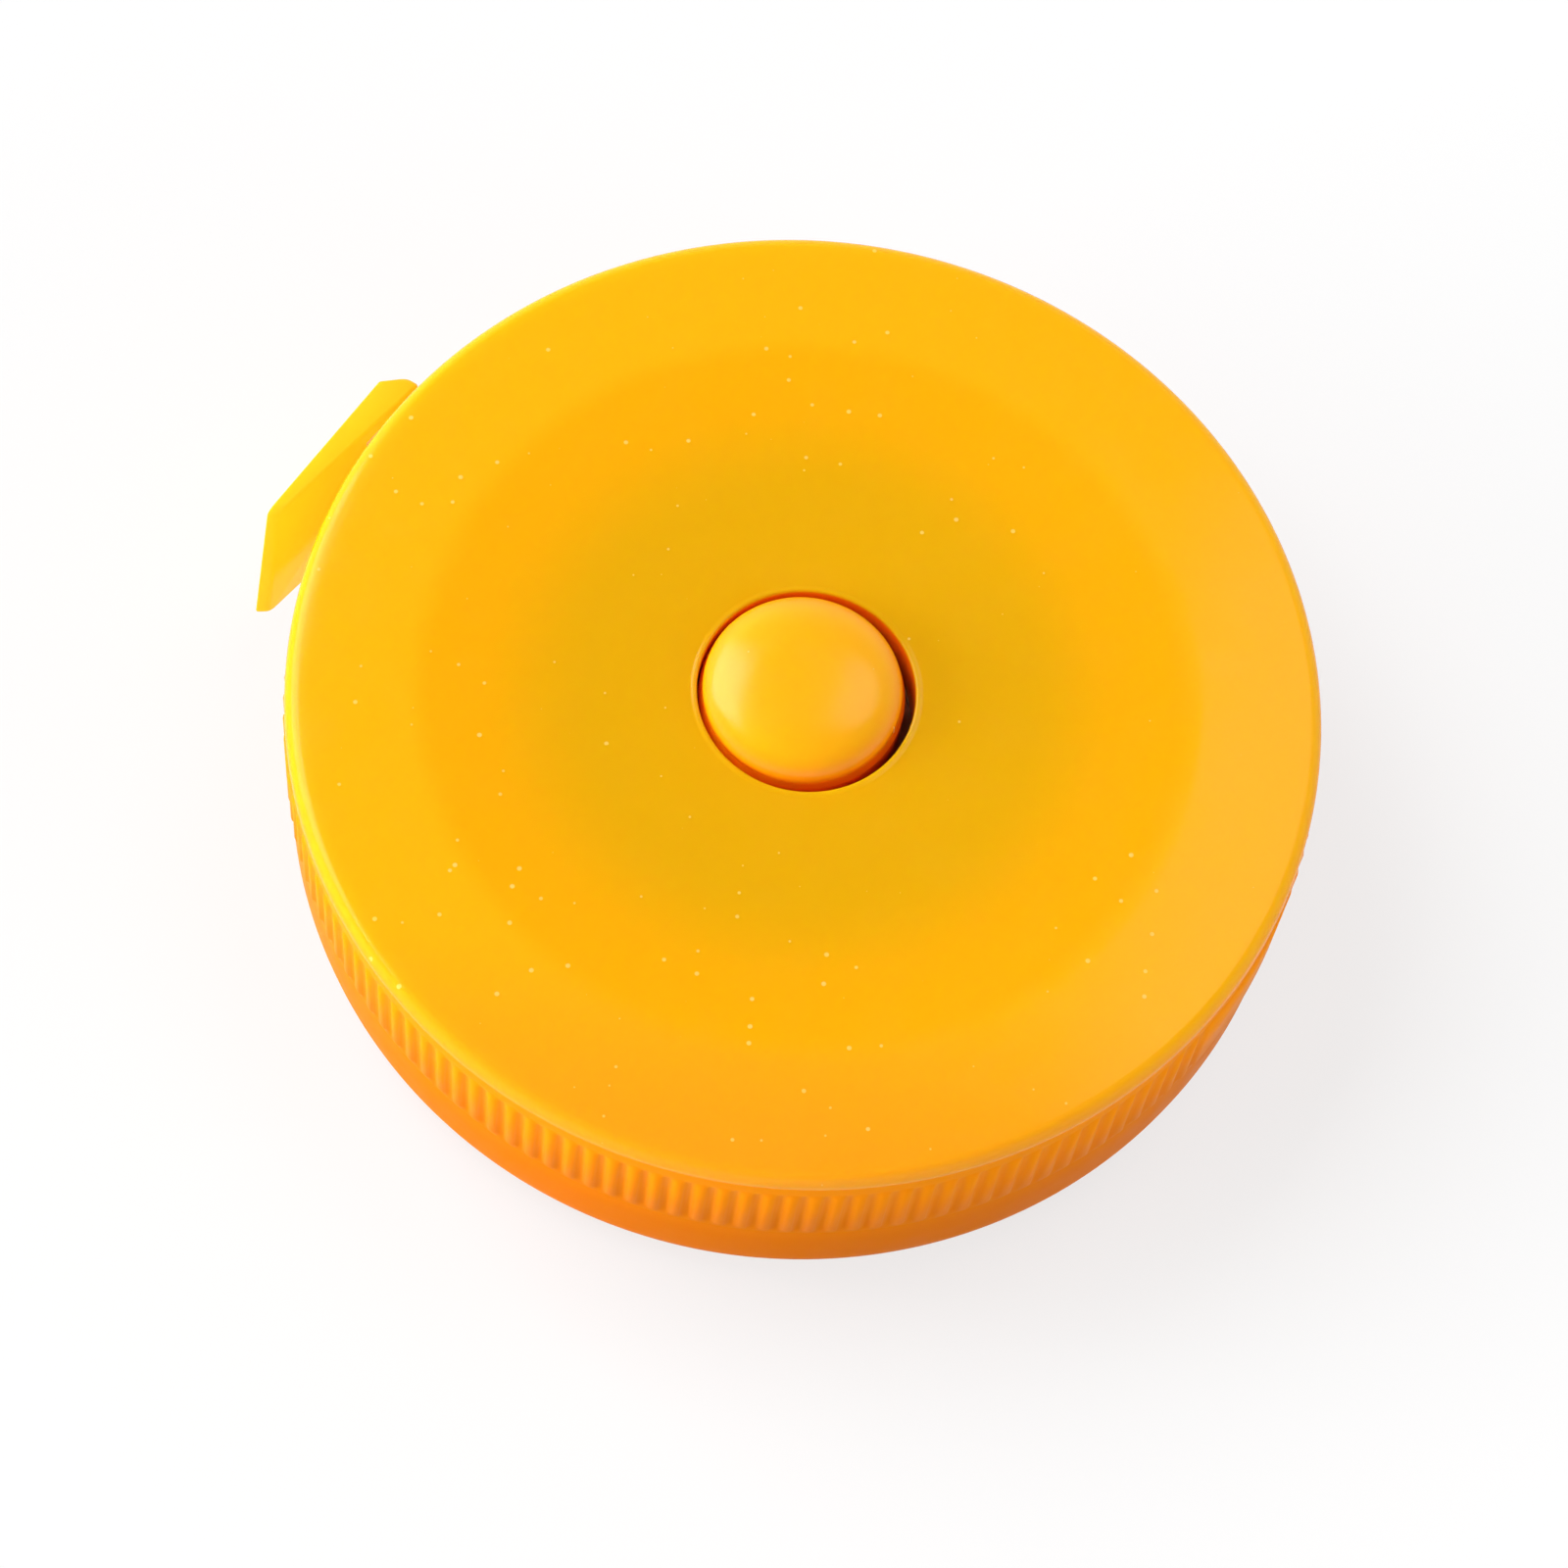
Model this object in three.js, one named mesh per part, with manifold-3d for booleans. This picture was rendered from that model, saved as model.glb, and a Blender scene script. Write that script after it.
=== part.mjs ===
// A round push-button tape measure for sewing, 1.5 m long, in millimetres with +Z up.
// The origin is the middle of the back face, so the case lies on its back at Z = 0 and its axis is Z.
// The reel turns anticlockwise seen from above to let the tape out. The tape leaves it as a tangent,
// passes the slot in the rim and ends in a flat tab that rests against the rim.
import * as THREE from 'three';
import { mergeVertices } from 'three/addons/utils/BufferGeometryUtils.js';
import Module from 'manifold-3d';

// Case, both covers: its radius follows from the wound tape, and its height from the tape's width
const reelRoom = 2.83;
const reelHeadroom = 0.85;
const partingHeight = 6.1;
const partingGap = 0.3;
const runningGap = 0.3;
const cutOverrun = 1;

// Front cover: its face is slightly dished from the crease ring to the button hole
const creaseInset = 6.3;
const crownInset = 3.5;
const edgeFillet = 0.5;
const edgeInset = 0.2;
const annulusFall = 0.1;
const dishDepth = 0.25;
const roofThickness = 1.1;
const roofCorner = 0.7;
const frontWall = 0.8;

// Ribs round the front cover's wall in two runs, with a smooth band above them. A smooth land parts
// the runs at the tape slot and opposite it.
const ribPitch = 1.07;
const landHalfAngle = THREE.MathUtils.degToRad(7.8);
const ribHeight = 0.3;
const smoothBandHeight = 1.75;
const ribRootOverlap = 0.3;

// Back cover: smooth rounded rim, flat floor, tongue that locates the front cover
const floorThickness = 1.2;
const rimDraft = 0.05;
const backRimInset = 0.15;
const backEdgeRadius = 2.4;
const tongueThickness = 0.5;
const tongueHeight = 1.1;
const innerCorner = 0.8;

// Post in the back cover, with a guide pin for the return spring and a key for the arbor
const postRadius = 2.2;
const guidePinRadius = 1.2;
const keyWidth = 0.6;
const keyReach = 0.8;
const keyHeight = 1.7;

// Tape
const tapeLength = 1500;
const tapeWidth = 7;
const tapeThickness = 0.4;
const rollInnerRadius = 14;
const edgeClearance = 0.35;
const slotClearance = 0.6;
const pullAzimuth = THREE.MathUtils.degToRad(206);

// Reel and its cover, which are the two flanges beside the tape
const slipWasherThickness = 0.3;
const slipWasherRadius = 9;
const webThickness = 0.8;
const drumWall = 0.7;
const flangeOverhang = 0.6;
const reelCoverThickness = 0.6;
const plugRingWall = 0.7;
const plugRingHeight = 0.7;
const anchorWidth = 1.2;
const anchorInset = 0.25;

// Mainspring, arbor and the thin disc that keeps the spring in its chamber
const mainspringThickness = 0.25;
const mainspringTurns = 8.25;
const mainspringSeatGap = 0.6;
const mainspringTongue = 0.5;
const arborWall = 0.9;
const springCoverThickness = 0.3;
const springCoverBore = 3;

// Button, brake disc, friction ring and return spring
const buttonRadius = 4.8;
const buttonHoleGap = 0.5;
const buttonPlay = 0.2;
const buttonPlayAzimuth = THREE.MathUtils.degToRad(170);
const buttonTravel = 1.2;
const buttonEdgeRise = 0.5;
const buttonDomeRise = 0.95;
const buttonRoof = 1.6;
const buttonBore = 3;
const buttonKeyCount = 3;
const buttonKeyWidth = 1.2;
const buttonKeyReach = 0.6;
const buttonKeyDepth = 1.9;
const buttonKeyAzimuth = THREE.MathUtils.degToRad(60);
const collarWall = 1.3;
const collarDrop = 0.4;
const brakeDiscThickness = 0.9;
const brakeDiscBore = 2.7;
const brakeSeatDepth = 0.4;
const frictionRingThickness = 0.5;
const frictionRingWidth = 1.7;
const frictionRingInset = 0.1;
const returnWireRadius = 0.2;
const returnCoilRadius = 1.9;
const returnTurns = 5;

// Pull tab: a wedge-shaped plate that stands against the rim, its thin free end tilted up
const tabLength = 11.05;
const tabHeight = 9.05;
const tabRootThickness = 1.65;
const tabTipThickness = 0.54;
const tabRimGap = 0.39;
const tabReachBack = 4.1;
const tabTipBevel = 0.44;
const tabRootChamfer = 1.13;
const tabCorner = 0.6;
const tabAzimuth = THREE.MathUtils.degToRad(156.2);
const tabTilt = THREE.MathUtils.degToRad(10.3);

// Number of facets
const caseSegments = 72;
const reelSegments = 60;
const smallSegments = 36;
const domeSteps = 6;
const dishSteps = 4;
const landSteps = 4;
const cornerSteps = 4;
const springStepsPerTurn = 24;
const returnStepsPerTurn = 8;
const wireSides = 5;

// Heights from the table up to the top of the reel
const frontBottom = partingHeight + partingGap / 2;
const backTop = partingHeight - partingGap / 2;
const slipWasherBottom = floorThickness + runningGap;
const slipWasherTop = slipWasherBottom + slipWasherThickness;
const webBottom = slipWasherTop + runningGap;
const webTop = webBottom + webThickness;
const tapeBottom = webTop + edgeClearance;
const tapeTop = tapeBottom + tapeWidth;
const tapeMiddle = (tapeBottom + tapeTop) / 2;
const reelCoverBottom = tapeTop + edgeClearance;
const reelCoverTop = reelCoverBottom + reelCoverThickness;

// Heights from the reel's cover down to the mainspring, which fills what the brake leaves free
const frictionRingTop = reelCoverBottom - runningGap;
const brakeDiscTop = frictionRingTop - frictionRingThickness;
const brakeDiscBottom = brakeDiscTop - brakeDiscThickness;
const brakeSeat = brakeDiscTop - brakeSeatDepth;
const springCoverTop = brakeDiscBottom - buttonTravel - runningGap;
const springCoverBottom = springCoverTop - springCoverThickness;
const mainspringTop = springCoverBottom - runningGap;
const mainspringBottom = webTop + runningGap;
const postTop = mainspringTop + runningGap / 2;

// Heights of the front cover and the button
const roofUnderside = reelCoverTop + reelHeadroom;
const holeRim = roofUnderside + roofThickness;
const edgeTop = holeRim + dishDepth;
const caseHeight = edgeTop + annulusFall;
const ribTop = edgeTop - smoothBandHeight;
const collarBottom = brakeDiscTop + collarDrop;
const buttonEdge = holeRim + buttonEdgeRise;
const buttonTop = buttonEdge + buttonDomeRise;
const buttonCeiling = buttonTop - buttonRoof;
const keyTop = holeRim - buttonKeyDepth;
const guidePinTop = buttonCeiling - buttonTravel - runningGap;

// Radii of the reel and of the case round it
const drumOuterRadius = rollInnerRadius - runningGap;
const chamberRadius = drumOuterRadius - drumWall;
const rollOuterRadius = Math.sqrt(rollInnerRadius ** 2 + (tapeLength * tapeThickness) / Math.PI);
const flangeRadius = rollOuterRadius + flangeOverhang;
const backInnerRadius = flangeRadius + reelRoom;
const tongueOuterRadius = backInnerRadius + tongueThickness;
const frontInnerRadius = tongueOuterRadius + runningGap;
const ribRootRadius = frontInnerRadius + frontWall;
const caseRadius = ribRootRadius + ribHeight;
const ribRunAngle = Math.PI - 2 * landHalfAngle;
const ribsPerRun = Math.round((caseRadius * ribRunAngle) / ribPitch);
const creaseRadius = caseRadius - creaseInset;
const crownRadius = caseRadius - crownInset;

// Radii about the post and the button
const arborBore = postRadius + runningGap;
const arborRadius = arborBore + arborWall;
const hubBore = arborRadius + runningGap;
const holeRadius = buttonRadius + buttonHoleGap;
const collarRadius = holeRadius + collarWall;
const coverBore = collarRadius + runningGap;
const frictionRingBore = coverBore + runningGap;
const frictionRingRadius = frictionRingBore + frictionRingWidth;
const brakeDiscRadius = frictionRingRadius + frictionRingInset;

// Places of the free tape and the tab
const tapeLine = rollOuterRadius + runningGap + tapeThickness / 2;
const tabRootFace = caseRadius + tabRimGap;
const tabOuterFace = tabRootFace + tabRootThickness;
const tabInnerLength = tabLength - tabTipBevel;
const tabTaper = Math.atan2(tabRootThickness - tabTipThickness, tabInnerLength);

const wasm = await Module();
wasm.setup();

const part = new THREE.Group();

const finishes = {
  casePlastic: { color: 0xfdb515, roughness: 0.25, metalness: 0 },
  whitePlastic: { color: 0xeeece4, roughness: 0.45, metalness: 0 },
  greyPlastic: { color: 0xb9bcc0, roughness: 0.5, metalness: 0 },
  film: { color: 0xdfe3e6, roughness: 0.35, metalness: 0 },
  rubber: { color: 0x2b2a29, roughness: 0.85, metalness: 0 },
  springSteel: { color: 0x8f949a, roughness: 0.3, metalness: 1 },
  tape: { color: 0xf6f4ec, roughness: 0.4, metalness: 0 },
};

// Turns a closed geometry into a solid that can be joined and cut
function solid(geometry) {
  const bare = geometry.index ? geometry.toNonIndexed() : geometry.clone();
  bare.deleteAttribute('normal');
  bare.deleteAttribute('uv');
  const merged = mergeVertices(bare);
  return new wasm.Manifold(
    new wasm.Mesh({
      numProp: 3,
      vertProperties: new Float32Array(merged.attributes.position.array),
      triVerts: new Uint32Array(merged.index.array),
    }),
  );
}

// Turns a solid back into a geometry
function geometryOf(manifold) {
  const mesh = manifold.getMesh();
  const geometry = new THREE.BufferGeometry();
  geometry.setAttribute('position', new THREE.BufferAttribute(mesh.vertProperties, mesh.numProp));
  geometry.setIndex(new THREE.BufferAttribute(mesh.triVerts, 1));
  geometry.computeVertexNormals();
  return geometry;
}

// Adds one named piece to the part
function addPiece(name, geometry, finish) {
  const mesh = new THREE.Mesh(geometry, new THREE.MeshStandardMaterial(finish));
  mesh.name = name;
  part.add(mesh);
  return mesh;
}

// A solid of revolution about Z, from [radius, height] points that run anticlockwise
function turned(profile, segments) {
  const points = profile.map(([radius, height]) => new THREE.Vector2(radius, height));
  return new THREE.LatheGeometry(points, segments).rotateX(Math.PI / 2);
}

// A ring of rectangular section
function ring(inner, outer, bottom, top, segments) {
  const profile = [[inner, bottom], [outer, bottom], [outer, top], [inner, top], [inner, bottom]];
  return turned(profile, segments);
}

// An outline of [x, y] points, raised along Z
function raised(outline, bottom, top) {
  const shape = new THREE.Shape(outline.map(([x, y]) => new THREE.Vector2(x, y)));
  const settings = { depth: top - bottom, bevelEnabled: false };
  return new THREE.ExtrudeGeometry(shape, settings).translate(0, 0, bottom);
}

// A box from its lowest to its highest corner, turned about Z
function block(low, high, azimuth = 0) {
  const size = high.map((value, i) => value - low[i]);
  const centre = high.map((value, i) => (value + low[i]) / 2);
  return new THREE.BoxGeometry(...size).translate(...centre).rotateZ(azimuth);
}

// The way out of the tape through both covers, as a straight channel along the tape
function slotChannel() {
  const side = tapeThickness / 2 + slotClearance;
  const rimCrossing = Math.sqrt(caseRadius ** 2 - tapeLine ** 2);
  const wallDepth = (caseRadius - backInnerRadius + cutOverrun) * (caseRadius / rimCrossing);
  const low = [rimCrossing - wallDepth, -tapeLine - side, tapeBottom - edgeClearance];
  const high = [rimCrossing + wallDepth, -tapeLine + side, tapeTop + edgeClearance];
  return solid(block(low, high, pullAzimuth));
}

// Height of the front face at a radius inside the crease ring
function dishHeight(radius) {
  const share = (radius - holeRadius) / (creaseRadius - holeRadius);
  return holeRim + dishDepth * share ** 2;
}

// Outline of the ribbed band: a crest and a valley for each rib, and the arcs of the two lands
function ribOutline() {
  const outline = [];
  const addPoint = (angle, radius) => outline.push([radius * Math.cos(angle), radius * Math.sin(angle)]);
  for (let side = 0; side < 2; side++) {
    const runStart = tabAzimuth + landHalfAngle + side * Math.PI;
    for (let i = 0; i <= 2 * ribsPerRun; i++) {
      const radius = i % 2 === 0 ? caseRadius : ribRootRadius;
      addPoint(runStart + (i / (2 * ribsPerRun)) * ribRunAngle, radius);
    }
    for (let i = 1; i < landSteps; i++) {
      addPoint(runStart + ribRunAngle + (i / landSteps) * 2 * landHalfAngle, caseRadius);
    }
  }
  return outline;
}

// The ribs as a band round the wall, with its inner face buried in the wall
function ribBand() {
  const band = solid(raised(ribOutline(), frontBottom, ribTop));
  const inner = ribRootRadius - ribRootOverlap;
  const core = ring(0, inner, frontBottom - cutOverrun, ribTop + cutOverrun, caseSegments);
  return band.subtract(solid(core));
}

// Direction of a key on the button, and of its slot in the collar
function buttonKeyAngle(index) {
  return buttonKeyAzimuth + (index / buttonKeyCount) * Math.PI * 2;
}

// Front cover: dished face, collar round the button with key slots, ribbed wall and tape slot
function frontCover() {
  const edgeRadius = ribRootRadius + edgeInset - edgeFillet;
  const profile = [
    [holeRadius, collarBottom],
    [collarRadius, collarBottom],
    [collarRadius, roofUnderside],
    [creaseRadius, edgeTop - roofThickness],
    [frontInnerRadius - roofCorner, edgeTop - roofThickness],
    [frontInnerRadius, edgeTop - roofThickness - roofCorner],
    [frontInnerRadius, frontBottom],
    [ribRootRadius, frontBottom],
    [ribRootRadius, ribTop],
    [ribRootRadius + edgeInset, ribTop],
  ];
  for (let i = 0; i <= cornerSteps; i++) {
    const angle = (i / cornerSteps) * (Math.PI / 2);
    const height = edgeTop - edgeFillet + edgeFillet * Math.sin(angle);
    profile.push([edgeRadius + edgeFillet * Math.cos(angle), height]);
  }
  profile.push([crownRadius, caseHeight]);
  for (let i = dishSteps; i >= 0; i--) {
    const radius = holeRadius + (i / dishSteps) * (creaseRadius - holeRadius);
    profile.push([radius, dishHeight(radius)]);
  }
  profile.push([holeRadius, collarBottom]);
  let cover = solid(turned(profile, caseSegments)).add(ribBand()).subtract(slotChannel());
  const side = buttonKeyWidth / 2 + buttonHoleGap;
  const reach = buttonRadius + buttonKeyReach + buttonHoleGap;
  const low = [0, -side, collarBottom - cutOverrun];
  const high = [reach, side, keyTop + runningGap];
  for (let i = 0; i < buttonKeyCount; i++) {
    cover = cover.subtract(solid(block(low, high, buttonKeyAngle(i))));
  }
  return geometryOf(cover);
}

// Back cover: floor, rounded rim, tongue, post with its guide pin and key, and tape slot
function backCover() {
  const rimRadius = caseRadius - backRimInset;
  const edgeRadius = rimRadius - rimDraft - backEdgeRadius;
  const profile = [[0, 0]];
  for (let i = 0; i <= cornerSteps; i++) {
    const angle = (i / cornerSteps) * (Math.PI / 2);
    const height = backEdgeRadius * (1 - Math.cos(angle));
    profile.push([edgeRadius + backEdgeRadius * Math.sin(angle), height]);
  }
  profile.push(
    [rimRadius, backTop],
    [tongueOuterRadius, backTop],
    [tongueOuterRadius, backTop + tongueHeight],
    [backInnerRadius, backTop + tongueHeight],
    [backInnerRadius, floorThickness + innerCorner],
    [backInnerRadius - innerCorner, floorThickness],
    [postRadius, floorThickness],
    [postRadius, postTop],
    [guidePinRadius, postTop],
    [guidePinRadius, guidePinTop],
    [0, guidePinTop],
  );
  const keyLow = [0, -keyWidth / 2, floorThickness / 2];
  const keyHigh = [postRadius + keyReach, keyWidth / 2, floorThickness + keyHeight];
  const cover = solid(turned(profile, caseSegments)).add(solid(block(keyLow, keyHigh)));
  return geometryOf(cover.subtract(slotChannel()));
}

// Split sleeve on the post: the key and the inner end of the mainspring share its slot
function arbor() {
  const side = keyWidth / 2 + runningGap;
  const low = [0, -side, slipWasherBottom - cutOverrun];
  const high = [arborRadius + cutOverrun, side, mainspringTop + cutOverrun];
  const sleeve = ring(arborBore, arborRadius, slipWasherBottom, mainspringTop, smallSegments);
  return geometryOf(solid(sleeve).subtract(solid(block(low, high))));
}

// Reel: lower flange and drum wall, notched for the tape's inner end and the mainspring's outer end
function reel() {
  const drumTop = reelCoverBottom - runningGap;
  const profile = [
    [hubBore, webBottom],
    [flangeRadius, webBottom],
    [flangeRadius, webTop],
    [drumOuterRadius, webTop],
    [drumOuterRadius, drumTop],
    [chamberRadius, drumTop],
    [chamberRadius, webTop],
    [hubBore, webTop],
    [hubBore, webBottom],
  ];
  const anchorSide = anchorWidth / 2 + runningGap;
  const springSide = mainspringThickness / 2 + runningGap;
  const throughWall = [chamberRadius - cutOverrun, drumOuterRadius + cutOverrun];
  const anchorNotch = block(
    [throughWall[0], -anchorSide, tapeBottom],
    [throughWall[1], anchorSide, drumTop + cutOverrun],
    Math.PI,
  );
  const springNotch = block(
    [throughWall[0], -springSide, webTop + runningGap / 2],
    [throughWall[1], springSide, mainspringTop + runningGap],
    mainspringTurns * Math.PI * 2,
  );
  const body = solid(turned(profile, reelSegments));
  return geometryOf(body.subtract(solid(anchorNotch)).subtract(solid(springNotch)));
}

// Upper flange of the reel, with a ring that centres it in the drum
function reelCover() {
  const plugRadius = chamberRadius - runningGap;
  const profile = [
    [coverBore, reelCoverBottom],
    [plugRadius - plugRingWall, reelCoverBottom],
    [plugRadius - plugRingWall, reelCoverBottom - plugRingHeight],
    [plugRadius, reelCoverBottom - plugRingHeight],
    [plugRadius, reelCoverBottom],
    [flangeRadius, reelCoverBottom],
    [flangeRadius, reelCoverTop],
    [coverBore, reelCoverTop],
    [coverBore, reelCoverBottom],
  ];
  return turned(profile, reelSegments);
}

// Centre line of the mainspring: a tongue in the arbor's slot, the spiral, a tongue in the drum wall
function mainspringPath() {
  const inner = arborRadius + mainspringSeatGap;
  const outer = chamberRadius - mainspringSeatGap;
  const steps = Math.round(mainspringTurns * springStepsPerTurn);
  const path = [new THREE.Vector2(arborRadius - mainspringTongue, 0)];
  for (let i = 0; i <= steps; i++) {
    const angle = (i / steps) * mainspringTurns * Math.PI * 2;
    const radius = inner + (i / steps) * (outer - inner);
    path.push(new THREE.Vector2(radius * Math.cos(angle), radius * Math.sin(angle)));
  }
  const end = path[path.length - 1];
  path.push(end.clone().setLength(chamberRadius + mainspringTongue));
  return path;
}

// Flat strip of a thickness along a path, as a closed outline with mitred corners
function stripOutline(path, thickness) {
  const left = [];
  const right = [];
  path.forEach((point, i) => {
    const before = path[Math.max(i - 1, 0)];
    const after = path[Math.min(i + 1, path.length - 1)];
    const incoming = point.clone().sub(i > 0 ? before : after).multiplyScalar(i > 0 ? 1 : -1);
    const outgoing = after.clone().sub(i < path.length - 1 ? point : before);
    const first = new THREE.Vector2(-incoming.y, incoming.x).normalize();
    const second = new THREE.Vector2(-outgoing.y, outgoing.x).normalize();
    const mitre = first.clone().add(second).normalize();
    mitre.multiplyScalar(thickness / 2 / mitre.dot(first));
    left.push([point.x + mitre.x, point.y + mitre.y]);
    right.unshift([point.x - mitre.x, point.y - mitre.y]);
  });
  return [...left, ...right];
}

function mainspring() {
  const outline = stripOutline(mainspringPath(), mainspringThickness);
  return raised(outline, mainspringBottom, mainspringTop);
}

// Centre line of the return spring, a helix from the post's shoulder to the button's ceiling
function returnSpringPoints() {
  const low = postTop + runningGap + returnWireRadius;
  const high = buttonCeiling - runningGap - returnWireRadius;
  const steps = returnTurns * returnStepsPerTurn;
  return Array.from({ length: steps + 1 }, (_, i) => {
    const angle = (i / steps) * returnTurns * Math.PI * 2;
    const turn = new THREE.Vector2(returnCoilRadius * Math.cos(angle), returnCoilRadius * Math.sin(angle));
    return new THREE.Vector3(turn.x, turn.y, low + (i / steps) * (high - low));
  });
}

function returnSpring() {
  const section = new THREE.Shape();
  for (let i = 0; i < wireSides; i++) {
    const angle = (i / wireSides) * Math.PI * 2;
    const point = [returnWireRadius * Math.cos(angle), returnWireRadius * Math.sin(angle)];
    if (i === 0) section.moveTo(...point);
    else section.lineTo(...point);
  }
  const points = returnSpringPoints();
  const settings = { extrudePath: new THREE.CatmullRomCurve3(points), steps: points.length - 1 };
  return new THREE.ExtrudeGeometry(section, settings);
}

// Domed button on a hollow skirt, with keys that stop it from turning in the collar
function button() {
  const profile = [[buttonBore, brakeSeat], [buttonRadius, brakeSeat]];
  for (let i = 0; i <= domeSteps; i++) {
    const angle = (i / domeSteps) * (Math.PI / 2);
    const radius = i < domeSteps ? buttonRadius * Math.cos(angle) ** (2 / 3) : 0;
    profile.push([radius, buttonEdge + buttonDomeRise * Math.sin(angle)]);
  }
  profile.push([0, buttonCeiling], [buttonBore, buttonCeiling], [buttonBore, brakeSeat]);
  let body = solid(turned(profile, smallSegments));
  const low = [buttonBore + runningGap, -buttonKeyWidth / 2, brakeDiscTop + runningGap];
  const high = [buttonRadius + buttonKeyReach, buttonKeyWidth / 2, keyTop];
  for (let i = 0; i < buttonKeyCount; i++) {
    body = body.add(solid(block(low, high, buttonKeyAngle(i))));
  }
  return geometryOf(body);
}

function brakeDisc() {
  const seatRadius = holeRadius;
  const profile = [
    [brakeDiscBore, brakeDiscBottom],
    [brakeDiscRadius, brakeDiscBottom],
    [brakeDiscRadius, brakeDiscTop],
    [seatRadius, brakeDiscTop],
    [seatRadius, brakeSeat],
    [brakeDiscBore, brakeSeat],
    [brakeDiscBore, brakeDiscBottom],
  ];
  return turned(profile, smallSegments);
}

// Side outline of the tab, a rectangle with rounded corners, its length along X and height along Y
function tabSideOutline() {
  const half = [tabLength / 2 - tabCorner, tabHeight / 2 - tabCorner];
  const quarters = [[1, 1], [-1, 1], [-1, -1], [1, -1]];
  return quarters.flatMap(([sideX, sideY], quarter) =>
    Array.from({ length: cornerSteps + 1 }, (_, i) => {
      const angle = (quarter + i / cornerSteps) * (Math.PI / 2);
      const x = sideX * half[0] + tabCorner * Math.cos(angle) + tabLength / 2 - tabReachBack;
      return [x, sideY * half[1] + tabCorner * Math.sin(angle)];
    }),
  );
}

// Tab in its own frame: X runs along the rim to the free end, Y towards the case, Z up
function tabPlate() {
  const tip = tabLength - tabReachBack;
  const plan = [
    [-tabReachBack, -tabRootFace],
    [-tabReachBack, tabRootChamfer - tabOuterFace],
    [tabRootChamfer - tabReachBack, -tabOuterFace],
    [tip, -tabOuterFace],
    [tip - tabTipBevel, tabTipThickness - tabOuterFace],
  ];
  const wedge = solid(raised(plan, -tabHeight, tabHeight));
  const side = raised(tabSideOutline(), tabRootFace - cutOverrun, tabOuterFace + cutOverrun);
  const plate = geometryOf(wedge.intersect(solid(side.rotateX(Math.PI / 2))));
  return plate.rotateY(-tabTilt).translate(0, 0, tapeMiddle);
}

// Least gap between neighbouring turns of a winding, measured on the points of its centre line
function leastGap(points, stepsPerTurn, thickness) {
  let least = Infinity;
  points.forEach((point, i) => {
    for (let j = i + Math.round(stepsPerTurn / 2); j < points.length; j++) {
      least = Math.min(least, point.distanceTo(points[j]));
    }
  });
  return least - thickness;
}

addPiece('lower_shell', backCover(), finishes.casePlastic);
addPiece('upper_shell', frontCover(), finishes.casePlastic);
addPiece('spring_arbor', arbor(), finishes.whitePlastic);
addPiece(
  'reel_slip_washer',
  ring(hubBore, slipWasherRadius, slipWasherBottom, slipWasherTop, smallSegments),
  finishes.film,
);

addPiece('tape_reel', reel(), finishes.whitePlastic);
addPiece('reel_cover', reelCover(), finishes.whitePlastic);
addPiece('power_spring', mainspring(), finishes.springSteel);
addPiece(
  'power_spring_cover',
  ring(springCoverBore, chamberRadius - runningGap, springCoverBottom, springCoverTop, reelSegments),
  finishes.film,
);
addPiece(
  'tape_roll',
  ring(rollInnerRadius, rollOuterRadius, tapeBottom, tapeTop, reelSegments),
  finishes.tape,
);
addPiece(
  'tape_anchor_wedge',
  block(
    [chamberRadius, -anchorWidth / 2, tapeBottom + anchorInset],
    [drumOuterRadius, anchorWidth / 2, tapeTop - anchorInset],
    Math.PI,
  ),
  finishes.greyPlastic,
);

const pushButton = addPiece('push_button', button(), finishes.casePlastic);
pushButton.position.x = buttonPlay * Math.cos(buttonPlayAzimuth);
pushButton.position.y = buttonPlay * Math.sin(buttonPlayAzimuth);
addPiece('brake_disc', brakeDisc(), finishes.greyPlastic);
addPiece(
  'brake_friction_ring',
  ring(frictionRingBore, frictionRingRadius, brakeDiscTop, frictionRingTop, smallSegments),
  finishes.rubber,
);
addPiece('button_return_spring', returnSpring(), finishes.springSteel);

// The free stretch of tape, from the roll to just short of the tab's inner face
const meetingAngle = pullAzimuth - tabAzimuth + tabTaper;
const tabFaceDistance = tabRootFace * Math.cos(tabTaper) + tabReachBack * Math.sin(tabTaper);
const farEdge = (tapeLine + tapeThickness / 2) * Math.sin(meetingAngle);
const leadLength = (tabFaceDistance - runningGap - farEdge) / Math.cos(meetingAngle);
const tapeLead = addPiece(
  'tape_lead',
  block(
    [0, -tapeLine - tapeThickness / 2, tapeBottom],
    [leadLength, -tapeLine + tapeThickness / 2, tapeTop],
  ),
  finishes.tape,
);
tapeLead.rotation.z = pullAzimuth;

const pullTab = addPiece('pull_tab', tabPlate(), finishes.casePlastic);
pullTab.rotation.z = tabAzimuth + Math.PI / 2;

const mainspringGap = leastGap(mainspringPath(), springStepsPerTurn, mainspringThickness);
const returnSpringGap = leastGap(returnSpringPoints(), returnStepsPerTurn, 2 * returnWireRadius);
console.log(`least gap between mainspring turns ${mainspringGap.toFixed(2)} mm`);
console.log(`least gap between return spring turns ${returnSpringGap.toFixed(2)} mm`);

export default part;
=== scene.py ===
"""Looks of a round push-button sewing tape measure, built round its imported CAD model.

The case is two glossy moulded covers with a ribbed rim, a domed button in a dished face, and a
wedge-shaped tab on the end of a printed tape. All sizes in the classes are millimetres in the CAD
frame: +Z is up, the case lies on its back at Z = 0 and its axis is Z.
"""

import logging
import math
from collections.abc import Callable, Sequence
from dataclasses import dataclass
from enum import Enum
from itertools import pairwise

import bpy
from mathutils import Matrix, Vector


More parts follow.
